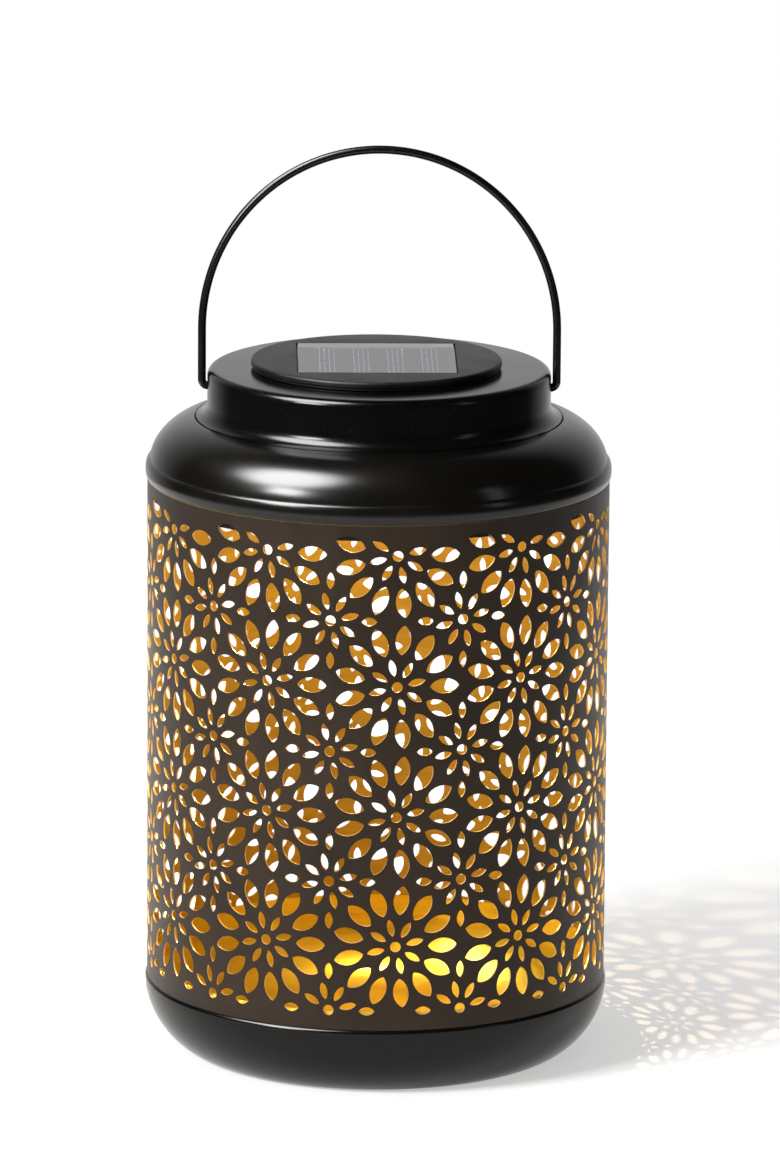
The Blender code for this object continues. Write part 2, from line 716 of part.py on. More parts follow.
def make_lens(material, collection):
    """Clear window: a flange inside the floor, a neck through it and a dome below."""
    flange_low = FLOOR_TOP + FIT_GAP
    flange_top = flange_low + LENS_FLANGE_HEIGHT
    outer = LENS_DIAMETER / 2
    inner = outer - LENS_WALL
    outline = arc((0.0, HOUSING_BOTTOM), (inner, inner - LENS_WALL / 2), -90, 0, 4)
    outline += [(inner, flange_top), (LENS_FLANGE / 2, flange_top), (LENS_FLANGE / 2, flange_low)]
    outline += [(outer, flange_low)]
    outline += arc((0.0, HOUSING_BOTTOM), (outer, outer - LENS_WALL / 2), 0, -90, 5)
    return turned("led_lens", outline, SMALL_FACETS, material, collection)


def make_led(material, collection):
    """Round LED that points down, with its collar just under the board."""
    radius = LED_DIAMETER / 2
    tip = LED_TOP - LED_HEIGHT
    collar = radius + LED_COLLAR_WIDTH
    collar_low = LED_TOP - LED_COLLAR_HEIGHT
    outline = [(0.0, LED_TOP), (collar, LED_TOP), (collar, collar_low), (radius, collar_low)]
    outline += arc((0.0, tip + radius), (radius, radius), 0, -90, 4)
    return turned("led", outline, SMALL_FACETS, material, collection)


def make_battery(material, collection):
    """AAA cell lying along X, its nub towards +X."""
    radius = BATTERY_DIAMETER / 2
    nub = BATTERY_NUB_DIAMETER / 2
    top = BATTERY_LENGTH / 2
    shoulder = top - BATTERY_NUB_LENGTH
    outline = [
        (0.0, top),
        (nub, top),
        (nub, shoulder),
        (radius - BATTERY_SHOULDER_ROUND, shoulder),
        (radius, shoulder - BATTERY_SHOULDER_ROUND),
        (radius, BATTERY_FOOT_ROUND - top),
        (radius - BATTERY_FOOT_ROUND, -top),
        (0.0, -top),
    ]
    battery = turned("battery", outline, SMALL_FACETS, material, collection)
    battery.location = (0.0, BATTERY_Y, BATTERY_Z)
    battery.rotation_euler = (0.0, math.pi / 2, 0.0)
    return battery


def make_contacts(material, collection):
    """Plate at the battery's nub, and a coil spring at its other end."""
    plate = box(
        "battery_plate",
        (PLATE_X - PLATE_THICKNESS / 2, BATTERY_Y - PLATE_WIDTH / 2, FLOOR_TOP + FIT_GAP),
        (PLATE_X + PLATE_THICKNESS / 2, BATTERY_Y + PLATE_WIDTH / 2, CRADLE_TOP + PLATE_RISE),
        material,
        collection,
    )
    per_turn = 10
    total = SPRING_TURNS * per_turn
    coil = []
    for step in range(total + 1):
        part = step / total
        angle = math.tau * part * SPRING_TURNS
        radius = (SPRING_DIAMETER - SPRING_WIRE) / 2 * (1.0 - SPRING_TAPER * (1.0 - part))
        x = SPRING_START - SPRING_WIRE / 2 - part * (SPRING_LENGTH - SPRING_WIRE)
        coil.append((x, BATTERY_Y + radius * math.sin(angle), BATTERY_Z + radius * math.cos(angle)))
    spring = wire("battery_spring", SPRING_WIRE, coil, material, collection, rings=1)
    return [plate, spring]


def make_switch(body_material, knob_material, collection):
    """Slide switch: a can under the board, and a knob that comes out through the floor."""
    x, y = SWITCH_PLACE
    can_bottom = BOARD_BOTTOM - FIT_GAP - SWITCH_SIZE[2]
    can = box(
        "switch_body",
        (x - SWITCH_SIZE[0] / 2, y - SWITCH_SIZE[1] / 2, can_bottom),
        (x + SWITCH_SIZE[0] / 2, y + SWITCH_SIZE[1] / 2, BOARD_BOTTOM - FIT_GAP),
        body_material,
        collection,
    )
    knob_x = x - SWITCH_TRAVEL / 2
    knob = box(
        "switch_knob",
        (knob_x - KNOB_SIZE[0] / 2, y - KNOB_SIZE[1] / 2, HOUSING_BOTTOM - KNOB_REACH),
        (knob_x + KNOB_SIZE[0] / 2, y + KNOB_SIZE[1] / 2, can_bottom - FIT_GAP),
        knob_material,
        collection,
    )
    bevel = knob.modifiers.new("Soft edges", "BEVEL")
    bevel.width = KNOB_EDGE
    bevel.segments = 1
    return can, knob


def make_leads(red, black, collection):
    """Two leads from the panel and two from the battery contacts, each to the top of the board."""
    board = BOARD_TOP + FIT_GAP
    leads = []
    panel = PANEL_RECESS_FLOOR
    for name, side, material in (("red", -1.0, red), ("black", 1.0, black)):
        top = (LEAD_HOLE[0] + side * LEAD_SPACING / 2, LEAD_HOLE[1])
        foot = (top[0] + side * LEAD_SPREAD, top[1] + LEAD_STRAIGHT)
        route = [
            (*top, panel),
            (*top, DISC_BOTTOM),
            (*top, DISC_BOTTOM - LEAD_STRAIGHT),
            (*foot, (panel + board) / 2),
            (*foot, board + LEAD_STRAIGHT),
            (*foot, board),
        ]
        leads.append(wire(f"panel_lead_{name}", LEAD_DIAMETER, smooth_path(route, 3), material, collection))
    battery_top = BATTERY_Z + BATTERY_DIAMETER / 2
    pad_y = BOARD_FRONT + PAD_INSET
    spring_top = BATTERY_Z + SPRING_DIAMETER / 2
    plate_top = CRADLE_TOP + PLATE_RISE
    spring_x = SPRING_START - SPRING_LENGTH / 2
    pad = BOARD_LENGTH / 2 - PAD_INSET
    ends = (
        ("red", PLATE_X, plate_top + FIT_GAP, pad, red),
        ("black", spring_x, spring_top + FIT_GAP, -pad, black),
    )
    for name, x, low, pad_x, material in ends:
        high = battery_top + LEAD_ARCH
        route = [
            (x, BATTERY_Y, low),
            (x, BATTERY_Y, low + LEAD_STRAIGHT),
            (x, BATTERY_Y, low + LEAD_STRAIGHT + LEAD_DIAMETER),
            ((2 * x + pad_x) / 3, BATTERY_Y + LEAD_ARCH, high),
            ((x + 2 * pad_x) / 3, pad_y - LEAD_ARCH, high),
            (pad_x, pad_y, board + LEAD_STRAIGHT + LEAD_DIAMETER),
            (pad_x, pad_y, board + LEAD_STRAIGHT),
            (pad_x, pad_y, board),
        ]
        leads.append(wire(f"battery_lead_{name}", LEAD_DIAMETER, smooth_path(route, 3), material, collection))
    return leads


def make_empty(name, place, collection):
    """An empty that carries a moving group."""
    carrier = bpy.data.objects.new(name, None)
    collection.objects.link(carrier)
    carrier.location = place
    return carrier


def build():
    """Builds every piece of the lantern."""
    clear_scene()
    parts = make_collection("solar_lantern")
    guides = make_collection("guides")

    bronze = make_material("bronze_paint", (0.045, 0.038, 0.032), 0.42, 0.6)
    black_paint = make_material("black_paint", (0.012, 0.012, 0.012), 0.35, 0.2)
    gold = make_material("gold_lacquer", (0.70, 0.40, 0.10), 0.4, 0.8)
    plastic = make_material("black_plastic", (0.02, 0.02, 0.02), 0.5, 0.0)
    rubber = make_material("seal_rubber", (0.03, 0.03, 0.03), 0.9, 0.0)
    cells = make_material("solar_cells", (0.16, 0.16, 0.18), 0.2, 0.0)
    board_green = make_material("board_green", (0.02, 0.12, 0.04), 0.5, 0.0)
    steel = make_material("plated_steel", (0.6, 0.6, 0.6), 0.3, 1.0)
    clear = make_material("clear_plastic", (0.9, 0.9, 0.85), 0.1, 0.0)
    glow = make_material("warm_led", (1.0, 0.75, 0.35), 0.3, 0.0, emission=4.0)
    wrap = make_material("battery_wrap", (0.05, 0.25, 0.12), 0.4, 0.0)
    red = make_material("red_lead", (0.5, 0.02, 0.02), 0.5, 0.0)
    black = make_material("black_lead", (0.02, 0.02, 0.02), 0.5, 0.0)

    make_base_pan(black_paint, parts)
    make_sheet(gold, parts)
    make_dome(bronze, parts)
    make_cap(black_paint, parts, guides)

    pivot = make_empty("bail_axis", (0.0, 0.0, PIVOT_Z), parts)
    make_bail(black_paint, parts, pivot)

    module = make_empty("module_axis", (0.0, 0.0, 0.0), parts)
    pieces = [
        make_module_disc(plastic, parts, guides),
        make_seal(rubber, parts),
        make_panel(cells, parts),
        make_housing(plastic, parts, guides),
        make_door(plastic, parts, guides),
        make_board(board_green, parts, guides),
        make_lens(clear, parts),
        make_led(glow, parts),
        make_battery(wrap, parts),
        *make_contacts(steel, parts),
        *make_switch(steel, plastic, parts),
        *make_leads(red, black, parts),
    ]
    for index, place in enumerate(POST_PLACES):
        pieces.append(
            make_screw(f"board_screw_{index + 1}", place, BOARD_TOP, BOARD_SCREW_LENGTH, False, steel, parts)
        )
    for index, place in enumerate(BOSS_PLACES):
        pieces.append(
            make_screw(
                f"housing_screw_{index + 1}", place, HOUSING_BOTTOM, HOUSING_SCREW_LENGTH, True, steel, parts
            )
        )
    ride(pieces, module)
    carried_guides = [g for g in guides.objects if g.name != "cut_pivot" and "notch_" not in g.name]
    ride(carried_guides, module)
    notches = make_empty("notch_axis", (MODULE_SHIFT, 0.0, 0.0), guides)
    ride([g for g in guides.objects if g.name.startswith("cut_notch_")], notches)
    for carrier in (module, notches):
        carrier.location = (MODULE_SHIFT, 0.0, 0.0)
        carrier.rotation_euler = (0.0, 0.0, MODULE_TURN)
    bpy.context.view_layer.update()
    for piece in parts.objects:
        if piece.type == "MESH":
            smooth(piece)


build()
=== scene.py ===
"""A solar lantern of pierced sheet metal: every visible piece and its finish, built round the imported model.

Metres, +Z up. The origin is the centre of the base's underside and the bail hinges along X.
"""
import json
import math

import bmesh
import bpy
from mathutils import Matrix, Vector, geometry


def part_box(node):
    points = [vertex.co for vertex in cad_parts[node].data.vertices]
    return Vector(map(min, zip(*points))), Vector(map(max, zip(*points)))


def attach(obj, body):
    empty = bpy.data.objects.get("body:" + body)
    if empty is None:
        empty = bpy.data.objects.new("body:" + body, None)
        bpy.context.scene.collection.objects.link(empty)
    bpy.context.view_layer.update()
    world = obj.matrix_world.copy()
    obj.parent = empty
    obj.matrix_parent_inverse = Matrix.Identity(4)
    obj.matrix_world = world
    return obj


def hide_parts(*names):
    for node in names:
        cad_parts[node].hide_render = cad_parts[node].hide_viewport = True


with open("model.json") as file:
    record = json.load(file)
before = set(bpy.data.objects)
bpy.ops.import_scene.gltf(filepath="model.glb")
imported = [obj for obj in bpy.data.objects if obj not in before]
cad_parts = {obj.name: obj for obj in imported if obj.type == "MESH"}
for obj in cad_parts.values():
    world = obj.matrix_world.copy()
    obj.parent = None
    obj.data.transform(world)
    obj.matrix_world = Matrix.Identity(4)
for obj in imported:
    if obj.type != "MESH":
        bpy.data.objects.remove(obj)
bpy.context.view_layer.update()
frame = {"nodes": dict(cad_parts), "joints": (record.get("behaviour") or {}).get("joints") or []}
nodes = frame["nodes"]

MM = 0.001


# ---------------- base pan
# A pressed steel cup that closes the bottom of the lantern. It is painted gloss black outside and
# lacquered gold inside. Its gold lip stands up inside the pierced sheet, which rests on its ledge.

pan_low, pan_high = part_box("base_pan")
sheet_low, sheet_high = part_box("perforated_sheet")
RIM_RADIUS = pan_high.x
SHEET_RADIUS = sheet_high.x
SHEET_WALL = 0.5 * MM
SEAM_GAP = 0.3 * MM
SKIRT_RADIUS = SHEET_RADIUS - SHEET_WALL - SEAM_GAP
PRESSED_WALL = 0.6 * MM
PAN_LEDGE = sheet_low.z - SEAM_GAP
PAN_LEDGE_ROUND = 1.2 * MM
LIP_PAINT_EDGE = 0.1 * MM
PAN_FOOT_RADIUS = RIM_RADIUS - 16.3 * MM
PAN_CORNER_DROP = 12.2 * MM
PAN_CORNER_REACH = 5.8 * MM
TURN_STEPS = 176
SHARP_ANGLE = 35.0
DUST = (0.10, 0.09, 0.08)


def arc(centre, radii, start, end, steps):
    """Points (radius, height) on part of an ellipse, from one angle in degrees to another."""
    points = []
    for step in range(steps + 1):
        angle = math.radians(start + (end - start) * step / steps)
        points.append((centre[0] + radii[0] * math.cos(angle), centre[1] + radii[1] * math.sin(angle)))
    return points


def bend(centre, radius, start, end, steps):
    """Points (radius, height) on part of a circle."""
    return arc(centre, (radius, radius), start, end, steps)


def soft_corner(start, start_pull, end_pull, end, steps):
    """Points on a cubic curve that leaves one point and meets another along two handles."""
    points = []
    for step in range(1, steps + 1):
        share = step / steps
        rest = 1.0 - share
        weights = (rest**3, 3 * rest**2 * share, 3 * rest * share**2, share**3)
        pulls = list(zip(weights, (start, start_pull, end_pull, end)))
        points.append(tuple(sum(weight * point[axis] for weight, point in pulls) for axis in (0, 1)))
    return points


def merged(shape, distance=0.001 * MM):
    """Merges a shape's doubled corners, and turns its faces outward."""
    bmesh.ops.remove_doubles(shape, verts=shape.verts, dist=distance)
    bmesh.ops.recalc_face_normals(shape, faces=shape.faces)
    return shape


def spun(outline, steps=TURN_STEPS, closed=False):
    """A bmesh of an outline of (radius, height) points turned round the upright axis."""
    shape = bmesh.new()
    points = [shape.verts.new((radius, 0.0, height)) for radius, height in outline]
    pairs = list(zip(points, points[1:]))
    if closed:
        pairs.append((points[-1], points[0]))
    for pair in pairs:
        shape.edges.new(pair)
    whole = {"cent": (0.0, 0.0, 0.0), "axis": (0.0, 0.0, 1.0), "angle": math.tau, "steps": steps}
    bmesh.ops.spin(shape, geom=shape.verts[:] + shape.edges[:], use_merge=True, **whole)
    return merged(shape)


def smoothed(mesh, sharp=SHARP_ANGLE):
    """Shades a mesh smooth apart from its real edges."""
    mesh.shade_smooth()
    mesh.set_sharp_from_angle(angle=math.radians(sharp))
    return mesh


def finished(name, shape, *materials, sharp=SHARP_ANGLE):
    """An object at the origin made from a bmesh, with its materials in order."""
    mesh = bpy.data.meshes.new(name)
    shape.to_mesh(mesh)
    shape.free()
    for material in materials:
        mesh.materials.append(material)
    piece = bpy.data.objects.new(name, smoothed(mesh, sharp))
    bpy.context.scene.collection.objects.link(piece)
    return piece


def settled(piece):
    """Takes a piece's modifiers into its mesh."""
    evaluated = piece.evaluated_get(bpy.context.evaluated_depsgraph_get())
    mesh = bpy.data.meshes.new_from_object(evaluated)
    piece.modifiers.clear()
    piece.data = smoothed(mesh)


def walled(piece, thickness, inside=0, rim=0):
    """Gives a pressed or rolled sheet its wall, inwards, with its own finish inside and on the rim."""
    wall = piece.modifiers.new("Wall", "SOLIDIFY")
    wall.thickness = thickness
    wall.offset = -1.0
    wall.use_even_offset = True
    wall.material_offset = inside
    wall.material_offset_rim = rim
    settled(piece)


def new_group(name, values, masks):
    """An empty shader group that takes a vector and some values and gives masks, and its end nodes."""
    group = bpy.data.node_groups.new(name, "ShaderNodeTree")
    group.interface.new_socket("Vector", in_out="INPUT", socket_type="NodeSocketVector")
    for side, sockets in (("INPUT", values), ("OUTPUT", masks)):
        for socket in sockets:
            group.interface.new_socket(socket, in_out=side, socket_type="NodeSocketFloat")
    return group, group.nodes.new("NodeGroupInput"), group.nodes.new("NodeGroupOutput")


def noise(tree, vector, scale, detail):
    """Noise of one size of grain, written out or from a socket, on the given coordinates."""
    texture = tree.nodes.new("ShaderNodeTexNoise")
    texture.inputs["Detail"].default_value = detail
    tree.links.new(vector, texture.inputs["Vector"])
    if isinstance(scale, float):
        texture.inputs["Scale"].default_value = scale
    else:
        tree.links.new(scale, texture.inputs["Scale"])
    return texture.outputs["Fac"]


def remap(tree, value, *ends):
    """Takes a value from one range (the first two ends) to another (the last two), held at the ends."""
    node = tree.nodes.new("ShaderNodeMapRange")
    tree.links.new(value, node.inputs["Value"])
    for socket, end in zip(("From Min", "From Max", "To Min", "To Max"), ends):
        node.inputs[socket].default_value = end
    return node.outputs["Result"]


def spread(tree, value, *ends):
    """Spreads noise, which keeps near 0.5, over the whole of 0 to 1 or between two other ends."""
    return remap(tree, value, 0.3, 0.7, *(ends or (0.0, 1.0)))


def sprayed_group():
    """Sprayed finish: fine orange-peel height, a slow mottle, and a few specks of settled dust."""
    group, start, end = new_group("sprayed_finish", ("Peel Scale",), ("Peel", "Mottle", "Dust"))
    vector = start.outputs["Vector"]
    specks = noise(group, vector, 1100.0, 0.0)
    group.links.new(noise(group, vector, start.outputs["Peel Scale"], 3.0), end.inputs["Peel"])
    group.links.new(spread(group, noise(group, vector, 38.0, 4.0)), end.inputs["Mottle"])
    group.links.new(remap(group, specks, 0.80, 0.88, 0.0, 0.12), end.inputs["Dust"])
    return group


SPRAYED = sprayed_group()


def new_material(name, metallic=0.0, **constants):
    """A material with its Principled shader, and the numbers that are the same all over it."""
    material = bpy.data.materials.new(name)
    material.use_nodes = True
    tree = material.node_tree
    shader = tree.nodes["Principled BSDF"]
    shader.inputs["Metallic"].default_value = metallic
    for socket, value in constants.items():
        shader.inputs[socket.replace("_", " ")].default_value = value
    return material, tree, shader


def object_vector(tree):
    """The piece's own coordinates."""
    return tree.nodes.new("ShaderNodeTexCoord").outputs["Object"]


def shade_between(tree, mask, first, second):
    """Mixes two colours by a mask. Each is written out or comes from another node."""
    mix = tree.nodes.new("ShaderNodeMix")
    mix.data_type = "RGBA"
    tree.links.new(mask, mix.inputs["Factor"])
    for socket, colour in (("A", first), ("B", second)):
        if isinstance(colour, tuple):
            mix.inputs[socket].default_value = (*colour, 1.0)
        else:
            tree.links.new(colour, mix.inputs[socket])
    return mix.outputs["Result"]


def feed(tree, shader, **sockets):
    """Links what nodes give to the shader's sockets of those names."""
    for socket, value in sockets.items():
        tree.links.new(value, shader.inputs[socket.replace("_", " ")])


def bumped(tree, shader, height, depth, strength=1.0):
    """Feeds a height, with its depth in metres, to the shader's normal."""
    bump = tree.nodes.new("ShaderNodeBump")
    bump.inputs["Strength"].default_value = strength
    bump.inputs["Distance"].default_value = depth
    tree.links.new(height, bump.inputs["Height"])
    feed(tree, shader, Normal=bump.outputs["Normal"])


def sprayed_material(name, dark, light, rough, peel_scale, peel_depth, **more):
    """Sprayed paint between two close colours, with its roughness between two values."""
    material, tree, shader = new_material(name, **more)
    spray = tree.nodes.new("ShaderNodeGroup")
    spray.node_tree = SPRAYED
    spray.inputs["Peel Scale"].default_value = peel_scale
    tree.links.new(object_vector(tree), spray.inputs["Vector"])
    mottle = spray.outputs["Mottle"]
    colour = shade_between(tree, spray.outputs["Dust"], shade_between(tree, mottle, dark, light), DUST)
    feed(tree, shader, Base_Color=colour, Roughness=remap(tree, mottle, 0.0, 1.0, *rough))
    bumped(tree, shader, spray.outputs["Peel"], peel_depth)
    return material


def gold_lacquer_material(name, dark, light, rough, metallic, **more):
    """Gold lacquer over rolled steel: faint rolling streaks round the tube and a sprayed grain."""
    material, tree, shader = new_material(name, metallic, **more)
    mapping = tree.nodes.new("ShaderNodeMapping")
    mapping.inputs["Scale"].default_value = (1.0, 1.0, 16.0)
    vector = object_vector(tree)
    tree.links.new(vector, mapping.inputs["Vector"])
    streaks = noise(tree, mapping.outputs["Vector"], 22.0, 5.0)
    colour = shade_between(tree, spread(tree, streaks), dark, light)
    feed(tree, shader, Base_Color=colour, Roughness=spread(tree, streaks, *rough))
    bumped(tree, shader, noise(tree, vector, 1200.0, 2.0), 0.01 * MM, 0.6)
    return material


BLACK_PAINT = sprayed_material(
    "black_paint", (0.0018, 0.0018, 0.0018), (0.0030, 0.0029, 0.0028), (0.16, 0.21),
    peel_scale=420.0, peel_depth=0.006 * MM, Specular_IOR_Level=0.22,
)
GOLD_PAN = gold_lacquer_material(
    "gold_pan", (0.60, 0.41, 0.016), (0.72, 0.50, 0.030), (0.30, 0.38),
    metallic=0.7, Coat_Weight=0.6, Coat_Roughness=0.22,
)

pan_outline = [(SKIRT_RADIUS, pan_high.z), (SKIRT_RADIUS, PAN_LEDGE)]
ledge_centre = (RIM_RADIUS - PAN_LEDGE_ROUND, PAN_LEDGE - PAN_LEDGE_ROUND)
pan_outline += bend(ledge_centre, PAN_LEDGE_ROUND, 90.0, 0.0, 8)
side_top = pan_outline[-1]
side_pull = (RIM_RADIUS, side_top[1] - PAN_CORNER_DROP)
foot_pull = (PAN_FOOT_RADIUS + PAN_CORNER_REACH, pan_low.z)
pan_outline += soft_corner(side_top, side_pull, foot_pull, (PAN_FOOT_RADIUS, pan_low.z), 28)
pan_outline += [(share * PAN_FOOT_RADIUS, pan_low.z) for share in (0.6, 0.3, 0.0)]
base_pan = finished("base_pan_finish", spun(pan_outline), BLACK_PAINT, GOLD_PAN)
walled(base_pan, PRESSED_WALL, inside=1, rim=1)
for face in base_pan.data.polygons:
    if face.center.z > PAN_LEDGE + LIP_PAINT_EDGE:
        face.material_index = 1
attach(base_pan, "root")
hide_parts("base_pan")


# ---------------- pierced sheet
# A rolled steel sheet, dark bronze outside and gold inside, pierced all over with rows of large
# flowers and small flowers between them. The punch leaves the gold showing on each hole's edge,
# where that gold is painted far brighter than inside, as a painted glint along the cut edges.

HAIRLINE = 0.03 * MM
SHEET_FOOT = PAN_LEDGE + HAIRLINE
SHEET_HEAD = sheet_high.z + SEAM_GAP - HAIRLINE
CELLS = 11
CELL_WIDTH = math.tau * SHEET_RADIUS / CELLS
CELL_STRIPS = 12
ROWS = 8
ROW_PITCH = 21.04 * MM
BOTTOM_ROW = sheet_low.z + 6.07 * MM
FLOWER_START = 0.151 * CELL_WIDTH
EYE_RADIUS = 1.7 * MM
EYE_POINTS = 12
INNER_PETALS = 8
INNER_START = -13.6
INNER_REACH = 6.35 * MM
INNER_SIZE = (5.5 * MM, 2.3 * MM)
INNER_POINTS = 14
OUTER_PETALS = 13
OUTER_START = 90.0
OUTER_REACH = 15.2 * MM
OUTER_SIZE = (9.4 * MM, 4.9 * MM)
OUTER_POINTS = 20
FILLER_DROP = 12.8 * MM
FILLER_SIDE = 12.2 * MM
FILLER_UPRIGHT = (5.3 * MM, 2.5 * MM)
FILLER_LEVEL = (4.9 * MM, 2.7 * MM)
TIP_POWER = 1.5
TOP_GAP_INNER = (-13.6, 31.4)
TOP_GAP_OUTER = 70.0
BOTTOM_INNER = (-13.6, 31.4, 76.4, -58.6)


def petal(centre, size, degrees, points):
    """A leaf-shaped hole's outline, its length at the given angle clockwise from upright."""
    along = Vector((math.sin(math.radians(degrees)), math.cos(math.radians(degrees))))
    across = Vector((-along.y, along.x))
    outline = []
    for step in range(points):
        angle = math.tau * step / points
        width = math.copysign(abs(math.sin(angle)) ** TIP_POWER, math.sin(angle))
        outline.append(centre + along * size[0] / 2 * math.cos(angle) + across * size[1] / 2 * width)
    return outline


def round_hole(centre, radius, points):
    """A round hole's outline."""
    turns = [math.tau * step / points for step in range(points)]
    return [centre + Vector((radius * math.cos(turn), radius * math.sin(turn))) for turn in turns]


def ring_of_petals(centre, count, first, reach, size, points, wanted):
    """Leaf-shaped holes that point away from a flower's eye."""
    holes = []
    for step in range(count):
        degrees = (first + step * 360.0 / count + 180.0) % 360.0 - 180.0
        if wanted(degrees):
            turn = math.radians(degrees)
            place = centre + Vector((math.sin(turn), math.cos(turn))) * reach
            holes.append(petal(place, size, degrees, points))
    return holes


def is_listed(degrees, angles):
    """Whether an angle is one of those given."""
    return any(abs(degrees - angle) < 1.0 for angle in angles)


def row_of_holes(row):
    """The holes of one row of flowers in one cell of the pattern, unrolled: X across and Y up."""
    height = BOTTOM_ROW + row * ROW_PITCH
    top = row == ROWS - 1
    bottom = row == 0
    if row % 2:
        eye = Vector((FLOWER_START, height))
        outer = (OUTER_PETALS, OUTER_START, OUTER_REACH, OUTER_SIZE, OUTER_POINTS)
        holes = ring_of_petals(eye, *outer, lambda degrees: not top or abs(degrees) > TOP_GAP_OUTER)
    else:
        eye = Vector((FLOWER_START + CELL_WIDTH / 2, height))
        sides = [(FILLER_SIDE, 0.0), (-FILLER_SIDE, 0.0)]
        holes = [petal(eye + Vector(side), FILLER_LEVEL, 90.0, INNER_POINTS) for side in sides]
        holes.append(petal(eye + Vector((0.0, FILLER_DROP)), FILLER_UPRIGHT, 0.0, INNER_POINTS))
        if not bottom:
            holes.append(petal(eye - Vector((0.0, FILLER_DROP)), FILLER_UPRIGHT, 0.0, INNER_POINTS))
    holes.append(round_hole(eye, EYE_RADIUS, EYE_POINTS))
    inner = (INNER_PETALS, INNER_START, INNER_REACH, INNER_SIZE, INNER_POINTS)
    if top:
        return holes + ring_of_petals(eye, *inner, lambda degrees: not is_listed(degrees, TOP_GAP_INNER))
    return holes + ring_of_petals(eye, *inner, lambda degrees: not bottom or is_listed(degrees, BOTTOM_INNER))


def pierced_cell():
    """One flat cell of the sheet with its holes left out, cut into strips so that it can be rolled."""
    corners = []
    lines = []
    for strip in range(CELL_STRIPS + 1):
        across = strip * CELL_WIDTH / CELL_STRIPS
        lines.append((len(corners), len(corners) + 1))
        corners += [Vector((across, SHEET_FOOT)), Vector((across, SHEET_HEAD))]
    lines += [(2 * strip, 2 * strip + 2) for strip in range(CELL_STRIPS)]
    lines += [(2 * strip + 1, 2 * strip + 3) for strip in range(CELL_STRIPS)]
    outlines = []
    for row in range(ROWS):
        for hole in row_of_holes(row):
            for shift in (-CELL_WIDTH, 0.0, CELL_WIDTH):
                moved = [point + Vector((shift, 0.0)) for point in hole]
                reach = [point.x for point in moved]
                if max(reach) > 0.0 and min(reach) < CELL_WIDTH:
                    first = len(corners)
                    corners += moved
                    outlines.append(list(range(first, first + len(moved))))
    in_mm = [point / MM for point in corners]
    points, _, faces, _, _, owners = geometry.delaunay_2d_cdt(in_mm, lines, outlines, 0, 1e-5)
    shape = bmesh.new()
    places = [shape.verts.new((point.x * MM, 0.0, point.y * MM)) for point in points]
    for face, owner in zip(faces, owners):
        middle = sum(points[corner].x for corner in face) / len(face) * MM
        if not owner and 0.0 < middle < CELL_WIDTH:
            shape.faces.new([places[corner] for corner in face])
    loose = [vert for vert in shape.verts if not vert.link_faces]
    bmesh.ops.delete(shape, geom=loose, context="VERTS")
    return shape


def rolled_sheet():
    """The cell bent to the lantern's radius and repeated all the way round."""
    shape = pierced_cell()
    for vert in shape.verts:
        turn = vert.co.x / SHEET_RADIUS
        vert.co = (SHEET_RADIUS * math.sin(turn), -SHEET_RADIUS * math.cos(turn), vert.co.z)
    cell = shape.verts[:] + shape.edges[:] + shape.faces[:]
    repeats = CELLS - 1
    bmesh.ops.spin(
        shape, geom=cell, cent=(0.0, 0.0, 0.0), axis=(0.0, 0.0, 1.0), use_duplicate=True,
        angle=math.tau * repeats / CELLS, steps=repeats,
    )
    return merged(shape, 0.002 * MM)


BRONZE_PAINT = sprayed_material(
    "bronze_paint", (0.022, 0.0145, 0.0090), (0.033, 0.0215, 0.0135), (0.36, 0.46),
    peel_scale=700.0, peel_depth=0.012 * MM, metallic=0.35, Specular_IOR_Level=0.25,
)
GOLD_INSIDE = gold_lacquer_material(
    "gold_lacquer", (0.34, 0.195, 0.012), (0.42, 0.25, 0.018), (0.40, 0.52), metallic=0.4
)
# The cut edges' gold lacquer, painted far brighter than the same gold inside: a painted glint on each hole's
# edge.
GOLD_EDGE_PAINTED_GLINT = gold_lacquer_material(
    "gold_edge_painted_glint", (0.92, 0.62, 0.20), (1.0, 0.76, 0.32), (0.3, 0.4), metallic=0.5
)

pierced_sheet = finished("pierced_sheet", rolled_sheet(), BRONZE_PAINT, GOLD_INSIDE, GOLD_EDGE_PAINTED_GLINT)
walled(pierced_sheet, SHEET_WALL, inside=1, rim=2)
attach(pierced_sheet, "root")
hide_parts("perforated_sheet")


# ---------------- dome
# The pressed shoulder: a skirt inside the sheet, a rolled bead over the sheet's top edge, a swelling
# shoulder and a short collar that the cap sits over. Gloss black paint with a warm cast.

dome_low, dome_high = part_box("dome")
cap_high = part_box("cap")[1]
COLLAR_RADIUS = cap_high.x - PRESSED_WALL - SEAM_GAP
BEAD_BOTTOM = sheet_high.z + SEAM_GAP
BEAD_HEIGHT = 6.3 * MM
BEAD_INSET = 0.5 * MM
SHOULDER_TOP = BEAD_BOTTOM + 20.6 * MM
SHOULDER_FOOT = BEAD_BOTTOM + 4.5 * MM
SHOULDER_CROWN = COLLAR_RADIUS - 0.4 * MM
SHOULDER_SWELL = SHEET_RADIUS - 0.6 * MM - SHOULDER_CROWN
SHOULDER_DROP = SHOULDER_TOP - SHOULDER_FOOT
NECK_FILLET = 4.5 * MM
LAP_DEPTH = PRESSED_WALL + SEAM_GAP
LAP_STEP = 0.6 * MM
LAP_TIP = Vector((0.15 * MM, -0.5 * MM))


def shoulder_point(degrees):
    """A point on the shoulder's ellipse, and the way it faces there."""
    out, up = math.cos(math.radians(degrees)), math.sin(math.radians(degrees))
    point = Vector((SHOULDER_CROWN + SHOULDER_SWELL * out, SHOULDER_FOOT + SHOULDER_DROP * up))
    return point, Vector((out / SHOULDER_SWELL, up / SHOULDER_DROP)).normalized()


def neck_angle():
    """Where on the shoulder a fillet of the neck's radius touches both it and the cap's skirt."""
    low, high = 45.0, 90.0
    for _ in range(40):
        trial = (low + high) / 2
        point, facing = shoulder_point(trial)
        if (point + facing * NECK_FILLET).x > cap_high.x + NECK_FILLET:
            low = trial
        else:
            high = trial
    return low


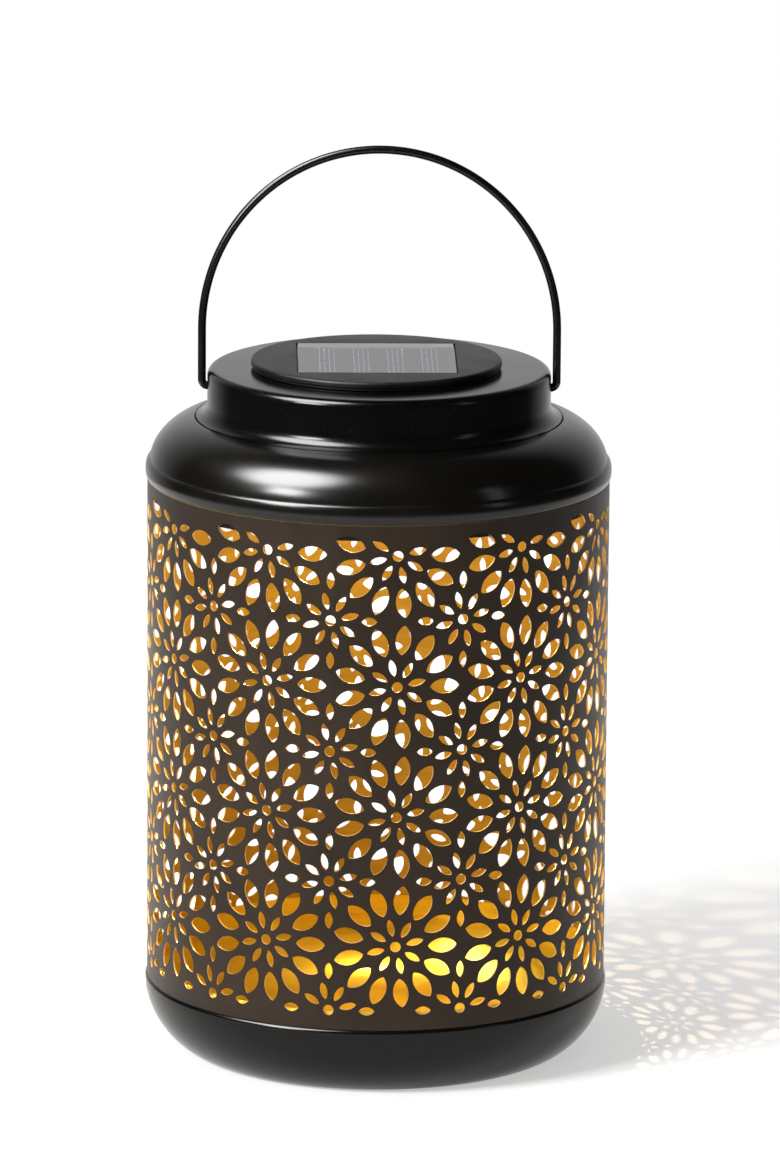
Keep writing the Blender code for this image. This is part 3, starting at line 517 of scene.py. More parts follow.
neck_start = neck_angle()
neck_end, neck_facing = shoulder_point(neck_start)
neck_centre = neck_end + neck_facing * NECK_FILLET
neck_turn = math.degrees(math.atan2(neck_end.y - neck_centre.y, neck_end.x - neck_centre.x)) % 360.0
shoulder_end = math.degrees(math.asin((BEAD_BOTTOM + BEAD_HEIGHT - SHOULDER_FOOT) / SHOULDER_DROP))
lap_start = neck_start - math.degrees(LAP_STEP / SHOULDER_SWELL)
shoulder = arc((SHOULDER_CROWN, SHOULDER_FOOT), (SHOULDER_SWELL, SHOULDER_DROP), lap_start, shoulder_end, 28)
bead_centre = (SHEET_RADIUS - BEAD_INSET, BEAD_BOTTOM + BEAD_HEIGHT / 2)
dome_outline = [(COLLAR_RADIUS, dome_high.z)]
dome_outline += bend(neck_centre, NECK_FILLET + LAP_DEPTH, 180.0, neck_turn, 10)
dome_outline.append(tuple(neck_end + LAP_TIP))
dome_outline += shoulder
dome_outline += arc(bead_centre, (dome_high.x - bead_centre[0], BEAD_HEIGHT / 2), 55.0, -75.0, 14)
dome_outline += [(SKIRT_RADIUS, BEAD_BOTTOM), (SKIRT_RADIUS, dome_low.z)]

DOME_PAINT = sprayed_material(
    "dome_paint", (0.0034, 0.0030, 0.0023), (0.0056, 0.0050, 0.0038), (0.19, 0.25),
    peel_scale=380.0, peel_depth=0.008 * MM, Specular_IOR_Level=0.32,
)
dome = finished("dome_finish", spun(dome_outline), DOME_PAINT)
walled(dome, PRESSED_WALL)
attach(dome, "root")
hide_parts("dome")


# ---------------- cap
# A flat-topped pressed cap over the dome's collar. Its round hole takes the solar module, with three
# notches that let the module's lugs through, and two holes in its skirt take the bail's ends.

disc_low, disc_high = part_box("module_disc")
housing_low, housing_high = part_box("module_housing")
bail_low, bail_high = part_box("bail")
CAP_RADIUS = cap_high.x
CAP_EDGE_ROUND = 2.5 * MM
MODULE_HOLE_RADIUS = 36.0 * MM
MODULE_TURN = math.radians(1.0)
MODULE_CENTRE = Vector(((disc_low.x + disc_high.x) / 2, 0.0, 0.0))
LUG_ANGLES = (60.0, 180.0, 300.0)
NOTCH_WIDTH = 11.8 * MM
NOTCH_REACH = 38.4 * MM
NOTCH_START = 0.9 * MODULE_HOLE_RADIUS
NOTCH_CUT = 2.0 * MM
BAIL_WIRE = bail_high.y - bail_low.y
PIVOT_Z = next(joint["pos_m"][2] for joint in frame["joints"] if joint["name"] == "bail_swing")
PIVOT_BORE = BAIL_WIRE + 0.9 * MM


def block(low, high):
    """A bmesh of a box between two corners."""
    shape = bmesh.new()
    bmesh.ops.create_cube(shape, size=1.0)
    bmesh.ops.scale(shape, vec=Vector(high) - Vector(low), verts=shape.verts)
    bmesh.ops.translate(shape, vec=(Vector(low) + Vector(high)) / 2, verts=shape.verts)
    return shape


def bar(radius, start, end, segments=32):
    """A bmesh of a round bar from one point to another."""
    shape = bmesh.new()
    line = Vector(end) - Vector(start)
    bmesh.ops.create_cone(
        shape, cap_ends=True, segments=segments, radius1=radius, radius2=radius, depth=line.length
    )
    bmesh.ops.rotate(shape, verts=shape.verts, matrix=line.to_track_quat("Z", "Y").to_matrix())
    bmesh.ops.translate(shape, vec=(Vector(start) + Vector(end)) / 2, verts=shape.verts)
    return shape


def placed(shape, degrees=0.0):
    """Turns a shape round the module's upright axis, and takes it to the module's place."""
    turn = Matrix.Rotation(math.radians(degrees) + MODULE_TURN, 3, "Z")
    bmesh.ops.rotate(shape, verts=shape.verts, matrix=turn)
    bmesh.ops.translate(shape, vec=MODULE_CENTRE, verts=shape.verts)
    return shape


def without_slivers(shape):
    """Splits a cut shape's many-sided faces, and takes out any face without area."""
    bmesh.ops.triangulate(shape, faces=[face for face in shape.faces if len(face.verts) > 4])
    bmesh.ops.dissolve_degenerate(shape, dist=0.0005 * MM, edges=shape.edges)
    return shape


def carve(piece, shape, operation="DIFFERENCE"):
    """Cuts a shape out of a piece, or joins it on, and leaves only the piece."""
    tool = finished("carving_tool", shape, *piece.data.materials)
    step = piece.modifiers.new("Carve", "BOOLEAN")
    step.operation = operation
    step.solver = "EXACT"
    step.object = tool
    settled(piece)
    bpy.data.objects.remove(tool)
    cut = bmesh.new()
    cut.from_mesh(piece.data)
    without_slivers(cut).to_mesh(piece.data)
    cut.free()


cap_edge = (CAP_RADIUS - CAP_EDGE_ROUND, cap_high.z - CAP_EDGE_ROUND)
cap_outline = [(MODULE_HOLE_RADIUS, cap_high.z)]
cap_outline += bend(cap_edge, CAP_EDGE_ROUND, 90.0, 0.0, 12)
cap_outline += bend(neck_centre, NECK_FILLET, 180.0, neck_turn, 12)
cap_outline += bend(neck_centre, NECK_FILLET + PRESSED_WALL, neck_turn, 180.0, 12)
cap_outline += bend(cap_edge, CAP_EDGE_ROUND - PRESSED_WALL, 0.0, 90.0, 8)
cap_outline += [(MODULE_HOLE_RADIUS, cap_high.z - PRESSED_WALL)]
cap = finished("cap_finish", spun(cap_outline, closed=True), BLACK_PAINT)
carve(cap, bar(PIVOT_BORE / 2, (-CAP_RADIUS - MM, 0.0, PIVOT_Z), (CAP_RADIUS + MM, 0.0, PIVOT_Z)))
for angle in LUG_ANGLES:
    notch_low = (NOTCH_START, -NOTCH_WIDTH / 2, cap_high.z - NOTCH_CUT)
    notch_high = (NOTCH_REACH, NOTCH_WIDTH / 2, cap_high.z + NOTCH_CUT)
    carve(cap, placed(block(notch_low, notch_high), angle))
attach(cap, "root")
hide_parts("cap")


# ---------------- bail
# One steel wire, bent and painted black: a tall arch, two upright legs, and ends turned in through
# the cap's skirt, where they are free to hinge.

BAIL_PIN_START = CAP_RADIUS - 4.4 * MM
BAIL_HALF_WIDTH = bail_high.x - BAIL_WIRE / 2
BAIL_BEND = 2.0 * MM
BAIL_LEG = 18.5 * MM
BAIL_RISE = bail_high.z - BAIL_WIRE / 2 - PIVOT_Z - BAIL_LEG
WIRE_SIDES = 20


def drawn_on(shape, ring, move):
    """Extrudes a ring of edges by a move, and gives the new ring."""
    made = bmesh.ops.extrude_edge_only(shape, edges=ring)["geom"]
    corners = [item for item in made if isinstance(item, bmesh.types.BMVert)]
    bmesh.ops.translate(shape, vec=move, verts=corners)
    return [item for item in made if isinstance(item, bmesh.types.BMEdge) and item.is_boundary]


def bent_on(shape, ring, centre, degrees, steps):
    """Bends a ring of edges round a centre, about Y, and gives the new ring."""
    verts = list({vert for edge in ring for vert in edge.verts})
    turn = {"cent": centre, "axis": (0.0, -1.0, 0.0), "angle": math.radians(degrees), "steps": steps}
    made = bmesh.ops.spin(shape, geom=verts + ring, **turn)["geom_last"]
    return [item for item in made if isinstance(item, bmesh.types.BMEdge)]


def bent_wire():
    """Half of the bail, from its pin to the top of its arch, mirrored to the other side."""
    shape = bmesh.new()
    bmesh.ops.create_circle(shape, segments=WIRE_SIDES, radius=BAIL_WIRE / 2, cap_ends=True)
    bmesh.ops.rotate(shape, verts=shape.verts, matrix=Matrix.Rotation(math.pi / 2, 3, "Y"))
    bmesh.ops.translate(shape, vec=(BAIL_PIN_START, 0.0, PIVOT_Z), verts=shape.verts)
    corner = BAIL_HALF_WIDTH - BAIL_BEND
    ring = drawn_on(shape, shape.edges[:], (corner - BAIL_PIN_START, 0.0, 0.0))
    ring = bent_on(shape, ring, (corner, 0.0, PIVOT_Z + BAIL_BEND), 90.0, 10)
    ring = drawn_on(shape, ring, (0.0, 0.0, BAIL_LEG - BAIL_BEND))
    legs = set(shape.verts)
    leg_top = PIVOT_Z + BAIL_LEG
    bent_on(shape, ring, (0.0, 0.0, leg_top), 90.0, 48)
    for vert in set(shape.verts) - legs:
        vert.co.z = leg_top + (vert.co.z - leg_top) * BAIL_RISE / BAIL_HALF_WIDTH
    half = shape.verts[:] + shape.edges[:] + shape.faces[:]
    bmesh.ops.mirror(shape, geom=half, axis="X", merge_dist=0.001 * MM)
    return merged(shape)


WIRE_PAINT = sprayed_material(
    "wire_paint", (0.0022, 0.0022, 0.0022), (0.0036, 0.0035, 0.0034), (0.22, 0.30),
    peel_scale=500.0, peel_depth=0.0012 * MM, Specular_IOR_Level=0.3,
)
bail = finished("bail_wire", bent_wire(), WIRE_PAINT, sharp=50.0)
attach(bail, "handle")
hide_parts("bail")


# ---------------- module disc
# The moulded black top of the solar module, with a stepped edge, a square recess for the panel, and
# three bosses below that the housing's screws bite into. Its sealing ring lies in a groove below.

panel_low, panel_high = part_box("solar_panel")
DISC_RADIUS = (disc_high.x - disc_low.x) / 2
DISC_BOTTOM = housing_high.z + SEAM_GAP
DISC_EDGE_ROUND = 0.9 * MM
DISC_STEP = 0.5 * MM
RECESS_LENGTH = 51.1 * MM
RECESS_WIDTH = 49.6 * MM
RECESS_FLOOR = panel_low.z - SEAM_GAP
RECESS_CORNER = 0.6 * MM
SEAL_GROOVE = (36.8 * MM, 39.0 * MM)
SEAL_GROOVE_TOP = DISC_BOTTOM + 0.8 * MM
BOSS_RADIUS = 2.8 * MM
BOSS_BORE = 1.4 * MM
BOSS_START = housing_low.z + 1.9 * MM
JOIN_DEPTH = 0.6 * MM


def moulded_group():
    """Moulded plastic: a fine spark-eroded grain with a slow change of sheen."""
    group, start, end = new_group("moulded_grain", (), ("Grain", "Sheen"))
    vector = start.outputs["Vector"]
    group.links.new(noise(group, vector, 1400.0, 3.0), end.inputs["Grain"])
    group.links.new(spread(group, noise(group, vector, 90.0, 3.0)), end.inputs["Sheen"])
    return group


MOULDED = moulded_group()


def plastic_material(name, dark, light, rough, **more):
    """Moulded plastic between two close colours."""
    material, tree, shader = new_material(name, **more)
    grain = tree.nodes.new("ShaderNodeGroup")
    grain.node_tree = MOULDED
    tree.links.new(object_vector(tree), grain.inputs["Vector"])
    sheen = grain.outputs["Sheen"]
    colour = shade_between(tree, sheen, dark, light)
    feed(tree, shader, Base_Color=colour, Roughness=remap(tree, sheen, 0.0, 1.0, *rough))
    bumped(tree, shader, grain.outputs["Grain"], 0.02 * MM)
    return material


def softened(shape, width, segments=2, edges=None):
    """Rounds a shape's edges, all of them or those given."""
    rounding = {"affect": "EDGES", "segments": segments, "profile": 0.5, "material": -1}
    bmesh.ops.bevel(shape, geom=edges or shape.edges[:], offset=width, **rounding)
    return shape


BLACK_PLASTIC = plastic_material(
    "black_plastic", (0.0035, 0.0035, 0.0035), (0.006, 0.006, 0.006), (0.42, 0.50), Specular_IOR_Level=0.2
)

disc_edge = (DISC_RADIUS - DISC_EDGE_ROUND, disc_high.z - DISC_EDGE_ROUND)
disc_outline = [(0.0, disc_high.z)] + bend(disc_edge, DISC_EDGE_ROUND, 90.0, 0.0, 6)
disc_outline += [
    (DISC_RADIUS, DISC_BOTTOM + 2 * DISC_STEP),
    (DISC_RADIUS - DISC_STEP, DISC_BOTTOM + DISC_STEP),
    (DISC_RADIUS - DISC_STEP, DISC_BOTTOM),
    (SEAL_GROOVE[1], DISC_BOTTOM),
    (SEAL_GROOVE[1], SEAL_GROOVE_TOP),
    (SEAL_GROOVE[0], SEAL_GROOVE_TOP),
    (SEAL_GROOVE[0], DISC_BOTTOM),
    (0.0, DISC_BOTTOM),
]
module_disc = finished("module_disc_finish", placed(spun(disc_outline)), BLACK_PLASTIC)
for number in (1, 2, 3):
    screw_low, screw_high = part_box(f"housing_screw_{number}")
    boss = ((screw_low + screw_high) / 2).xy
    carve(module_disc, bar(BOSS_RADIUS, (*boss, BOSS_START), (*boss, DISC_BOTTOM + JOIN_DEPTH)), "UNION")
    carve(module_disc, bar(BOSS_BORE, (*boss, housing_low.z), (*boss, screw_high.z + SEAM_GAP)))
recess_half = Vector((RECESS_LENGTH / 2, RECESS_WIDTH / 2))
recess = block((*-recess_half, RECESS_FLOOR), (*recess_half, disc_high.z + MM))
upright = [edge for edge in recess.edges if abs(edge.verts[0].co.z - edge.verts[1].co.z) > MM]
carve(module_disc, placed(softened(recess, RECESS_CORNER, 4, upright)))
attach(module_disc, "solar_module")
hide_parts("module_disc")


# ---------------- solar panel
# A thin-film panel under clear resin, glued into the disc's recess. A silver busbar runs along its
# back edge, and four groups of fine silver lines run from it to the front.

PANEL_HALF_LENGTH = 50.5 * MM / 2
PANEL_HALF_WIDTH = 49.0 * MM / 2
PANEL_EDGE = 0.3 * MM
LINE_GROUPS = 4
LINE_GROUP_PITCH = 10.9 * MM
LINES_IN_GROUP = 4
LINE_PITCH = 1.55 * MM
LINE_WIDTH = 0.32 * MM
LINE_START = -PANEL_HALF_WIDTH + 1.2 * MM
LINES_OFFSET = 0.5 * MM
BUSBAR = (PANEL_HALF_WIDTH - 8.6 * MM, PANEL_HALF_WIDTH - 7.9 * MM)
BUSBAR_HALF_LENGTH = 19.4 * MM


def line_places():
    """The middles of the panel's fine lines, across the panel."""
    places = []
    for band in range(LINE_GROUPS):
        middle = (band - (LINE_GROUPS - 1) / 2) * LINE_GROUP_PITCH + LINES_OFFSET
        for line in range(LINES_IN_GROUP):
            places.append(middle + (line - (LINES_IN_GROUP - 1) / 2) * LINE_PITCH)
    return places


def panel_shape():
    """The panel's slab, its top cut along the printed lines, which take the second material."""
    half = Vector((PANEL_HALF_LENGTH, PANEL_HALF_WIDTH))
    shape = softened(block((*-half, panel_low.z), (*half, panel_high.z)), PANEL_EDGE)
    sides = [place + side * LINE_WIDTH / 2 for place in line_places() for side in (-1.0, 1.0)]
    sides += [-BUSBAR_HALF_LENGTH, BUSBAR_HALF_LENGTH]
    cuts = [((across, 0.0, 0.0), (1.0, 0.0, 0.0)) for across in sides]
    cuts += [((0.0, along, 0.0), (0.0, 1.0, 0.0)) for along in (LINE_START, *BUSBAR)]
    for point, normal in cuts:
        top = [face for face in shape.faces if face.normal.z > 0.99]
        around = list({item for face in top for item in (*face.verts, *face.edges)})
        bmesh.ops.bisect_plane(shape, geom=top + around, dist=0.0001 * MM, plane_co=point, plane_no=normal)
        shape.normal_update()
    for face in shape.faces:
        middle = face.calc_center_median()
        on_line = any(abs(middle.x - place) < LINE_WIDTH / 2 for place in line_places())
        on_line = on_line and LINE_START < middle.y < BUSBAR[0]
        on_busbar = abs(middle.x) < BUSBAR_HALF_LENGTH and BUSBAR[0] < middle.y < BUSBAR[1]
        if face.normal.z > 0.99 and (on_line or on_busbar):
            face.material_index = 1
    return without_slivers(shape)


def cell_material():
    """Dark cell under clear resin: a faint cloud with a violet cast, and a glossy face."""
    material, tree, shader = new_material("solar_cells", Specular_IOR_Level=0.36)
    vector = object_vector(tree)
    cloud = spread(tree, noise(tree, vector, 70.0, 4.0))
    colour = shade_between(tree, cloud, (0.012, 0.012, 0.014), (0.019, 0.018, 0.022))
    feed(tree, shader, Base_Color=colour, Roughness=remap(tree, cloud, 0.0, 1.0, 0.06, 0.1))
    bumped(tree, shader, noise(tree, vector, 300.0, 2.0), 0.004 * MM)
    return material


def silver_line_material():
    """Printed silver lines, a little worn and uneven in brightness."""
    material, tree, shader = new_material("silver_lines", Coat_Weight=0.3, Coat_Roughness=0.05)
    worn = remap(tree, noise(tree, object_vector(tree), 420.0, 4.0), 0.35, 0.65, 0.0, 1.0)
    colour = shade_between(tree, worn, (0.16, 0.16, 0.30), (0.30, 0.30, 0.46))
    feed(tree, shader, Base_Color=colour, Roughness=remap(tree, worn, 0.0, 1.0, 0.25, 0.4))
    return material


solar_panel = finished("solar_panel_finish", placed(panel_shape()), cell_material(), silver_line_material())
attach(solar_panel, "solar_module")
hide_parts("solar_panel")


# ---------------- sealing ring
# A soft moulded rubber ring. It lies in the groove under the disc, presses on the cap's flat top, and
# keeps rain out of the cap's hole.

ring_low, ring_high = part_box("seal_ring")
SEAL_INNER = 37.1 * MM
SEAL_OUTER = 38.7 * MM
SEAL_ROUND = 0.18 * MM
SEAL_RUBBER = plastic_material("seal_rubber", (0.016, 0.016, 0.016), (0.028, 0.027, 0.026), (0.8, 0.95))

seal_outline = []
for radius, height, turn in (
    (SEAL_OUTER - SEAL_ROUND, ring_high.z - SEAL_ROUND, 90.0),
    (SEAL_OUTER - SEAL_ROUND, ring_low.z + SEAL_ROUND, 0.0),
    (SEAL_INNER + SEAL_ROUND, ring_low.z + SEAL_ROUND, -90.0),
    (SEAL_INNER + SEAL_ROUND, ring_high.z - SEAL_ROUND, -180.0),
):
    seal_outline += bend((radius, height), SEAL_ROUND, turn, turn - 90.0, 3)
seal_ring = finished("seal_ring_finish", placed(spun(seal_outline, closed=True)), SEAL_RUBBER)
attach(seal_ring, "solar_module")
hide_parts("seal_ring")


# ---------------- module housing
# A moulded black cup below the disc. Three lugs on its wall lock under the cap. Its floor carries the
# battery's cradle and the board's posts, and is open for the window, the switch, the door and screws.

door_low, door_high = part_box("battery_door")
board_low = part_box("circuit_board")[0]
HOUSING_RADIUS = 34.6 * MM
HOUSING_WALL = 1.6 * MM
HOUSING_CORNER = 2.0 * MM
HOUSING_RIM_ROUND = 0.3 * MM
FLOOR_TOP = housing_low.z + HOUSING_WALL
FLOOR_ROUND = 0.8 * MM
LUG_REACH = 2.4 * MM
LUG_WIDTH = 9.0 * MM
LUG_HEIGHT = 1.5 * MM
LUG_DROP = 1.5 * MM
LUG_EDGE = 0.35 * MM
CRADLE_LOW = Vector((-27.05 * MM, -20.35 * MM, FLOOR_TOP - JOIN_DEPTH))
CRADLE_HIGH = Vector((24.55 * MM, -6.65 * MM, housing_low.z + 10.0 * MM))
CRADLE_WALL = 1.2 * MM
DOOR_SIZE = (46.0 * MM, 11.3 * MM)
POST_RADIUS = 2.6 * MM
SCREW_BORE = 1.4 * MM
BOARD_SCREW_DEPTH = 5.0 * MM
WINDOW_BORE = 5.0 * MM
SWITCH_SLOT = (7.6 * MM, 3.2 * MM)
SWITCH_TRAVEL = 3.0 * MM
HOUSING_PLASTIC = plastic_material(
    "housing_plastic", (0.009, 0.009, 0.009), (0.015, 0.015, 0.015), (0.42, 0.52), Specular_IOR_Level=0.4
)


def middle_of(name):
    """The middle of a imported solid, seen from the module's middle along the module's own directions."""
    low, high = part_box(name)
    return Matrix.Rotation(-MODULE_TURN, 3, "Z") @ ((low + high) / 2 - MODULE_CENTRE)


def block_at(centre, size, low, high):
    """A bmesh of an upright block round a point, between two heights."""
    half = Vector(size) / 2
    return block((*(centre.xy - half), low), (*(centre.xy + half), high))


def post_at(centre, radius, low, high):
    """A bmesh of an upright round post at a point, between two heights."""
    return bar(radius, (*centre.xy, low), (*centre.xy, high), 40)


inner_wall = HOUSING_RADIUS - HOUSING_WALL
rim = HOUSING_RIM_ROUND
floor_corner = (inner_wall - FLOOR_ROUND, FLOOR_TOP + FLOOR_ROUND)
outer_corner = (HOUSING_RADIUS - HOUSING_CORNER, housing_low.z + HOUSING_CORNER)
housing_outline = [(0.0, FLOOR_TOP)] + bend(floor_corner, FLOOR_ROUND, -90.0, 0.0, 5)
housing_outline += bend((inner_wall + rim, housing_high.z - rim), rim, 180.0, 90.0, 4)
housing_outline += bend((HOUSING_RADIUS - rim, housing_high.z - rim), rim, 90.0, 0.0, 4)
housing_outline += bend(outer_corner, HOUSING_CORNER, 0.0, -90.0, 12) + [(0.0, housing_low.z)]
housing = finished("module_housing_finish", placed(spun(housing_outline, 144)), HOUSING_PLASTIC)
lug_top = housing_high.z - LUG_DROP
for angle in LUG_ANGLES:
    lug_low = (HOUSING_RADIUS - JOIN_DEPTH, -LUG_WIDTH / 2, lug_top - LUG_HEIGHT)
    lug = softened(block(lug_low, (HOUSING_RADIUS + LUG_REACH, LUG_WIDTH / 2, lug_top)), LUG_EDGE, 3)
    carve(housing, placed(lug, angle), "UNION")
carve(housing, placed(block(CRADLE_LOW, CRADLE_HIGH)), "UNION")
cradle_wall = Vector((CRADLE_WALL, CRADLE_WALL))
hollow = (*(CRADLE_LOW.xy + cradle_wall), FLOOR_TOP), (*(CRADLE_HIGH.xy - cradle_wall), CRADLE_HIGH.z + MM)
carve(housing, placed(block(*hollow)))
opening = (DOOR_SIZE[0] + 2 * SEAM_GAP, DOOR_SIZE[1] + 2 * SEAM_GAP)
below, above = housing_low.z - MM, FLOOR_TOP + MM
carve(housing, placed(block_at(middle_of("battery_door"), opening, below, above)))
post_top = board_low.z - SEAM_GAP
for name in ("board_screw_1", "board_screw_2"):
    carve(housing, placed(post_at(middle_of(name), POST_RADIUS, FLOOR_TOP - JOIN_DEPTH, post_top)), "UNION")
    carve(housing, placed(post_at(middle_of(name), SCREW_BORE, post_top - BOARD_SCREW_DEPTH, post_top + MM)))
for name in ("housing_screw_1", "housing_screw_2", "housing_screw_3"):
    carve(housing, placed(post_at(middle_of(name), SCREW_BORE, below, above)))
carve(housing, placed(post_at(Vector(), WINDOW_BORE, below, above)))
slot_middle = middle_of("switch_knob") + Vector((SWITCH_TRAVEL / 2, 0.0, 0.0))
carve(housing, placed(block_at(slot_middle, SWITCH_SLOT, below, above)))
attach(housing, "solar_module")
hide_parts("module_housing")


# ---------------- LED and its window
# One warm LED points down through the housing's floor. A clear moulded window covers it, with a flange
# inside the floor and a domed end below.

led_low, led_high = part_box("led")
lens_low, lens_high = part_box("led_lens")
LED_RADIUS = 2.5 * MM
LED_COLLAR = 2.9 * MM
LED_COLLAR_HEIGHT = 1.0 * MM
WINDOW_RADIUS = 4.7 * MM
WINDOW_DEPTH = housing_low.z - lens_low.z
WINDOW_WALL = 1.2 * MM
FLANGE_RADIUS = 6.2 * MM
FLANGE_LOW = FLOOR_TOP + SEAM_GAP


def lens_material():
    """Clear moulded window, faintly frosted."""
    clear = {"Transmission_Weight": 1.0, "IOR": 1.49, "Base_Color": (1.0, 0.98, 0.93, 1.0)}
    material, tree, shader = new_material("clear_plastic", **clear)
    frost = noise(tree, object_vector(tree), 600.0, 3.0)
    feed(tree, shader, Roughness=spread(tree, frost, 0.06, 0.14))
    return material


def part_along(tree, vector, axis):
    """How far a vector reaches along one axis."""
    parts = tree.nodes.new("ShaderNodeSeparateXYZ")
    tree.links.new(vector, parts.inputs["Vector"])
    return parts.outputs[axis]


def led_material():
    """Warm LED body, brightest at its tip."""
    body = {"Emission_Strength": 14.0, "Base_Color": (0.9, 0.8, 0.5, 1.0)}
    material, tree, shader = new_material("warm_led", **body)
    material.cycles.emission_sampling = "NONE"
    height = part_along(tree, object_vector(tree), "Z")
    tip = remap(tree, height, led_low.z, led_high.z, 1.0, 0.0)
    light = shade_between(tree, tip, (0.85, 0.45, 0.08), (1.0, 0.80, 0.45))
    feed(tree, shader, Emission_Color=light, Roughness=remap(tree, tip, 0.0, 1.0, 0.4, 0.15))
    return material


collar_low = led_high.z - LED_COLLAR_HEIGHT
led_outline = [(0.0, led_high.z), (LED_COLLAR, led_high.z)]
led_outline += [(LED_COLLAR, collar_low), (LED_RADIUS, collar_low)]
led_outline += bend((0.0, led_low.z + LED_RADIUS), LED_RADIUS, 0.0, -90.0, 10)
led = finished("led_finish", placed(spun(led_outline, 40)), led_material())
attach(led, "solar_module")
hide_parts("led")

bore = WINDOW_RADIUS - WINDOW_WALL
window_outline = arc((0.0, housing_low.z), (bore, WINDOW_DEPTH - WINDOW_WALL), -90.0, 0.0, 12)
window_outline += [(bore, lens_high.z), (FLANGE_RADIUS, lens_high.z)]
window_outline += [(FLANGE_RADIUS, FLANGE_LOW), (WINDOW_RADIUS, FLANGE_LOW)]
window_outline += arc((0.0, housing_low.z), (WINDOW_RADIUS, WINDOW_DEPTH), 0.0, -90.0, 14)
window = finished("led_lens_finish", placed(spun(window_outline, 64)), lens_material())
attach(window, "solar_module")
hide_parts("led_lens")


# ---------------- circuit board and screws
# A small green board over its posts, held by two pan-head screws. The slide switch's steel can hangs
# under it. Three longer screws of the same kind hold the housing to the disc.

SCREW_HEAD_RADIUS = 2.5 * MM
SCREW_HEAD_HEIGHT = 1.3 * MM
SCREW_SHANK = 1.1 * MM
CROSS_LENGTH = 2.5 * MM
CROSS_WIDTH = 0.6 * MM
CROSS_DEPTH = 0.8 * MM
CROWN_ROUND = 0.65 * SCREW_HEAD_RADIUS
CROWN_RISE = 0.7 * SCREW_HEAD_HEIGHT


def finish_node(name, material):
    """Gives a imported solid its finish."""
    mesh = nodes[name].data
    mesh.materials.clear()
    mesh.materials.append(material)


def metal_material(name, dark, light, rough):
    """Bright plated metal with a fine satin grain."""
    material, tree, shader = new_material(name, metallic=1.0)
    vector = object_vector(tree)
    grain = spread(tree, noise(tree, vector, 800.0, 4.0))
    colour = shade_between(tree, grain, dark, light)
    feed(tree, shader, Base_Color=colour, Roughness=remap(tree, grain, 0.0, 1.0, *rough))
    bumped(tree, shader, noise(tree, vector, 2500.0, 2.0), 0.005 * MM)
    return material


def board_material():
    """Green solder mask over copper tracks."""
    material, tree, shader = new_material("board_green", Coat_Weight=0.4, Coat_Roughness=0.2)
    tracks = tree.nodes.new("ShaderNodeTexVoronoi")
    tracks.feature = "DISTANCE_TO_EDGE"
    tracks.inputs["Scale"].default_value = 260.0
    tree.links.new(object_vector(tree), tracks.inputs["Vector"])
    copper = remap(tree, tracks.outputs["Distance"], 0.05, 0.09, 1.0, 0.0)
    colour = shade_between(tree, copper, (0.006, 0.045, 0.014), (0.018, 0.115, 0.032))
    feed(tree, shader, Base_Color=colour, Roughness=remap(tree, copper, 0.0, 1.0, 0.45, 0.3))
    bumped(tree, shader, copper, 0.03 * MM)
    return material


def screw(name, heads_down):
    """A pan-head screw with a crossed recess, head up or head down."""
    low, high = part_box(name)
    length = high.z - low.z
    crown_centre = (SCREW_HEAD_RADIUS - CROWN_ROUND, -CROWN_RISE)
    outline = [(0.0, 0.0)] + arc(crown_centre, (CROWN_ROUND, CROWN_RISE), 90.0, 0.0, 8)
    outline += [(SCREW_HEAD_RADIUS, -SCREW_HEAD_HEIGHT), (SCREW_SHANK, -SCREW_HEAD_HEIGHT)]
    outline += [(SCREW_SHANK, SCREW_SHANK - length), (0.0, -length)]
    shape = spun(outline, 48)
    if heads_down:
        bmesh.ops.rotate(shape, verts=shape.verts, matrix=Matrix.Rotation(math.pi, 3, "X"))
    middle = middle_of(name)
    seat = low.z if heads_down else high.z
    bmesh.ops.translate(shape, vec=(middle.x, middle.y, seat), verts=shape.verts)
    made = finished(name + "_finish", placed(shape), PLATED_STEEL)
    for size in ((CROSS_LENGTH, CROSS_WIDTH), (CROSS_WIDTH, CROSS_LENGTH)):
        carve(made, placed(block_at(middle, size, seat - CROSS_DEPTH, seat + CROSS_DEPTH)))
    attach(made, "solar_module")
    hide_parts(name)


PLATED_STEEL = metal_material("plated_steel", (0.50, 0.50, 0.49), (0.66, 0.66, 0.64), (0.22, 0.34))
finish_node("circuit_board", board_material())
finish_node("switch_body", PLATED_STEEL)
for number in (1, 2):
    screw(f"board_screw_{number}", heads_down=False)
for number in (1, 2, 3):
    screw(f"housing_screw_{number}", heads_down=True)


# ---------------- battery and its contacts
# One rechargeable cell in a shrink wrap, lying in the cradle between a sprung steel plate at its nub
# and a coil spring at its other end.

battery_low, battery_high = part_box("battery")
BATTERY_RADIUS = (battery_high.z - battery_low.z) / 2
BATTERY_HALF = 44.5 * MM / 2
BATTERY_NUB = 1.9 * MM
BATTERY_NUB_LENGTH = 1.2 * MM
BATTERY_NUB_EDGE = 0.3 * MM
BATTERY_SHOULDER = 0.5 * MM
WRAP_BAND = (battery_high.x - 9.2 * MM, battery_high.x - 9.0 * MM)


def wrap_material():
    """Printed shrink wrap of the battery, with a plain silver band at one end."""
    material, tree, shader = new_material("battery_wrap", metallic=0.2, Coat_Weight=0.6, Coat_Roughness=0.12)
    vector = object_vector(tree)
    band = remap(tree, part_along(tree, vector, "X"), *WRAP_BAND, 0.0, 1.0)
    colour = shade_between(tree, band, (0.02, 0.16, 0.06), (0.55, 0.55, 0.53))
    creases = noise(tree, vector, 150.0, 4.0)
    feed(tree, shader, Base_Color=colour, Roughness=spread(tree, creases, 0.25, 0.4))
    bumped(tree, shader, creases, 0.05 * MM, 0.5)
    return material


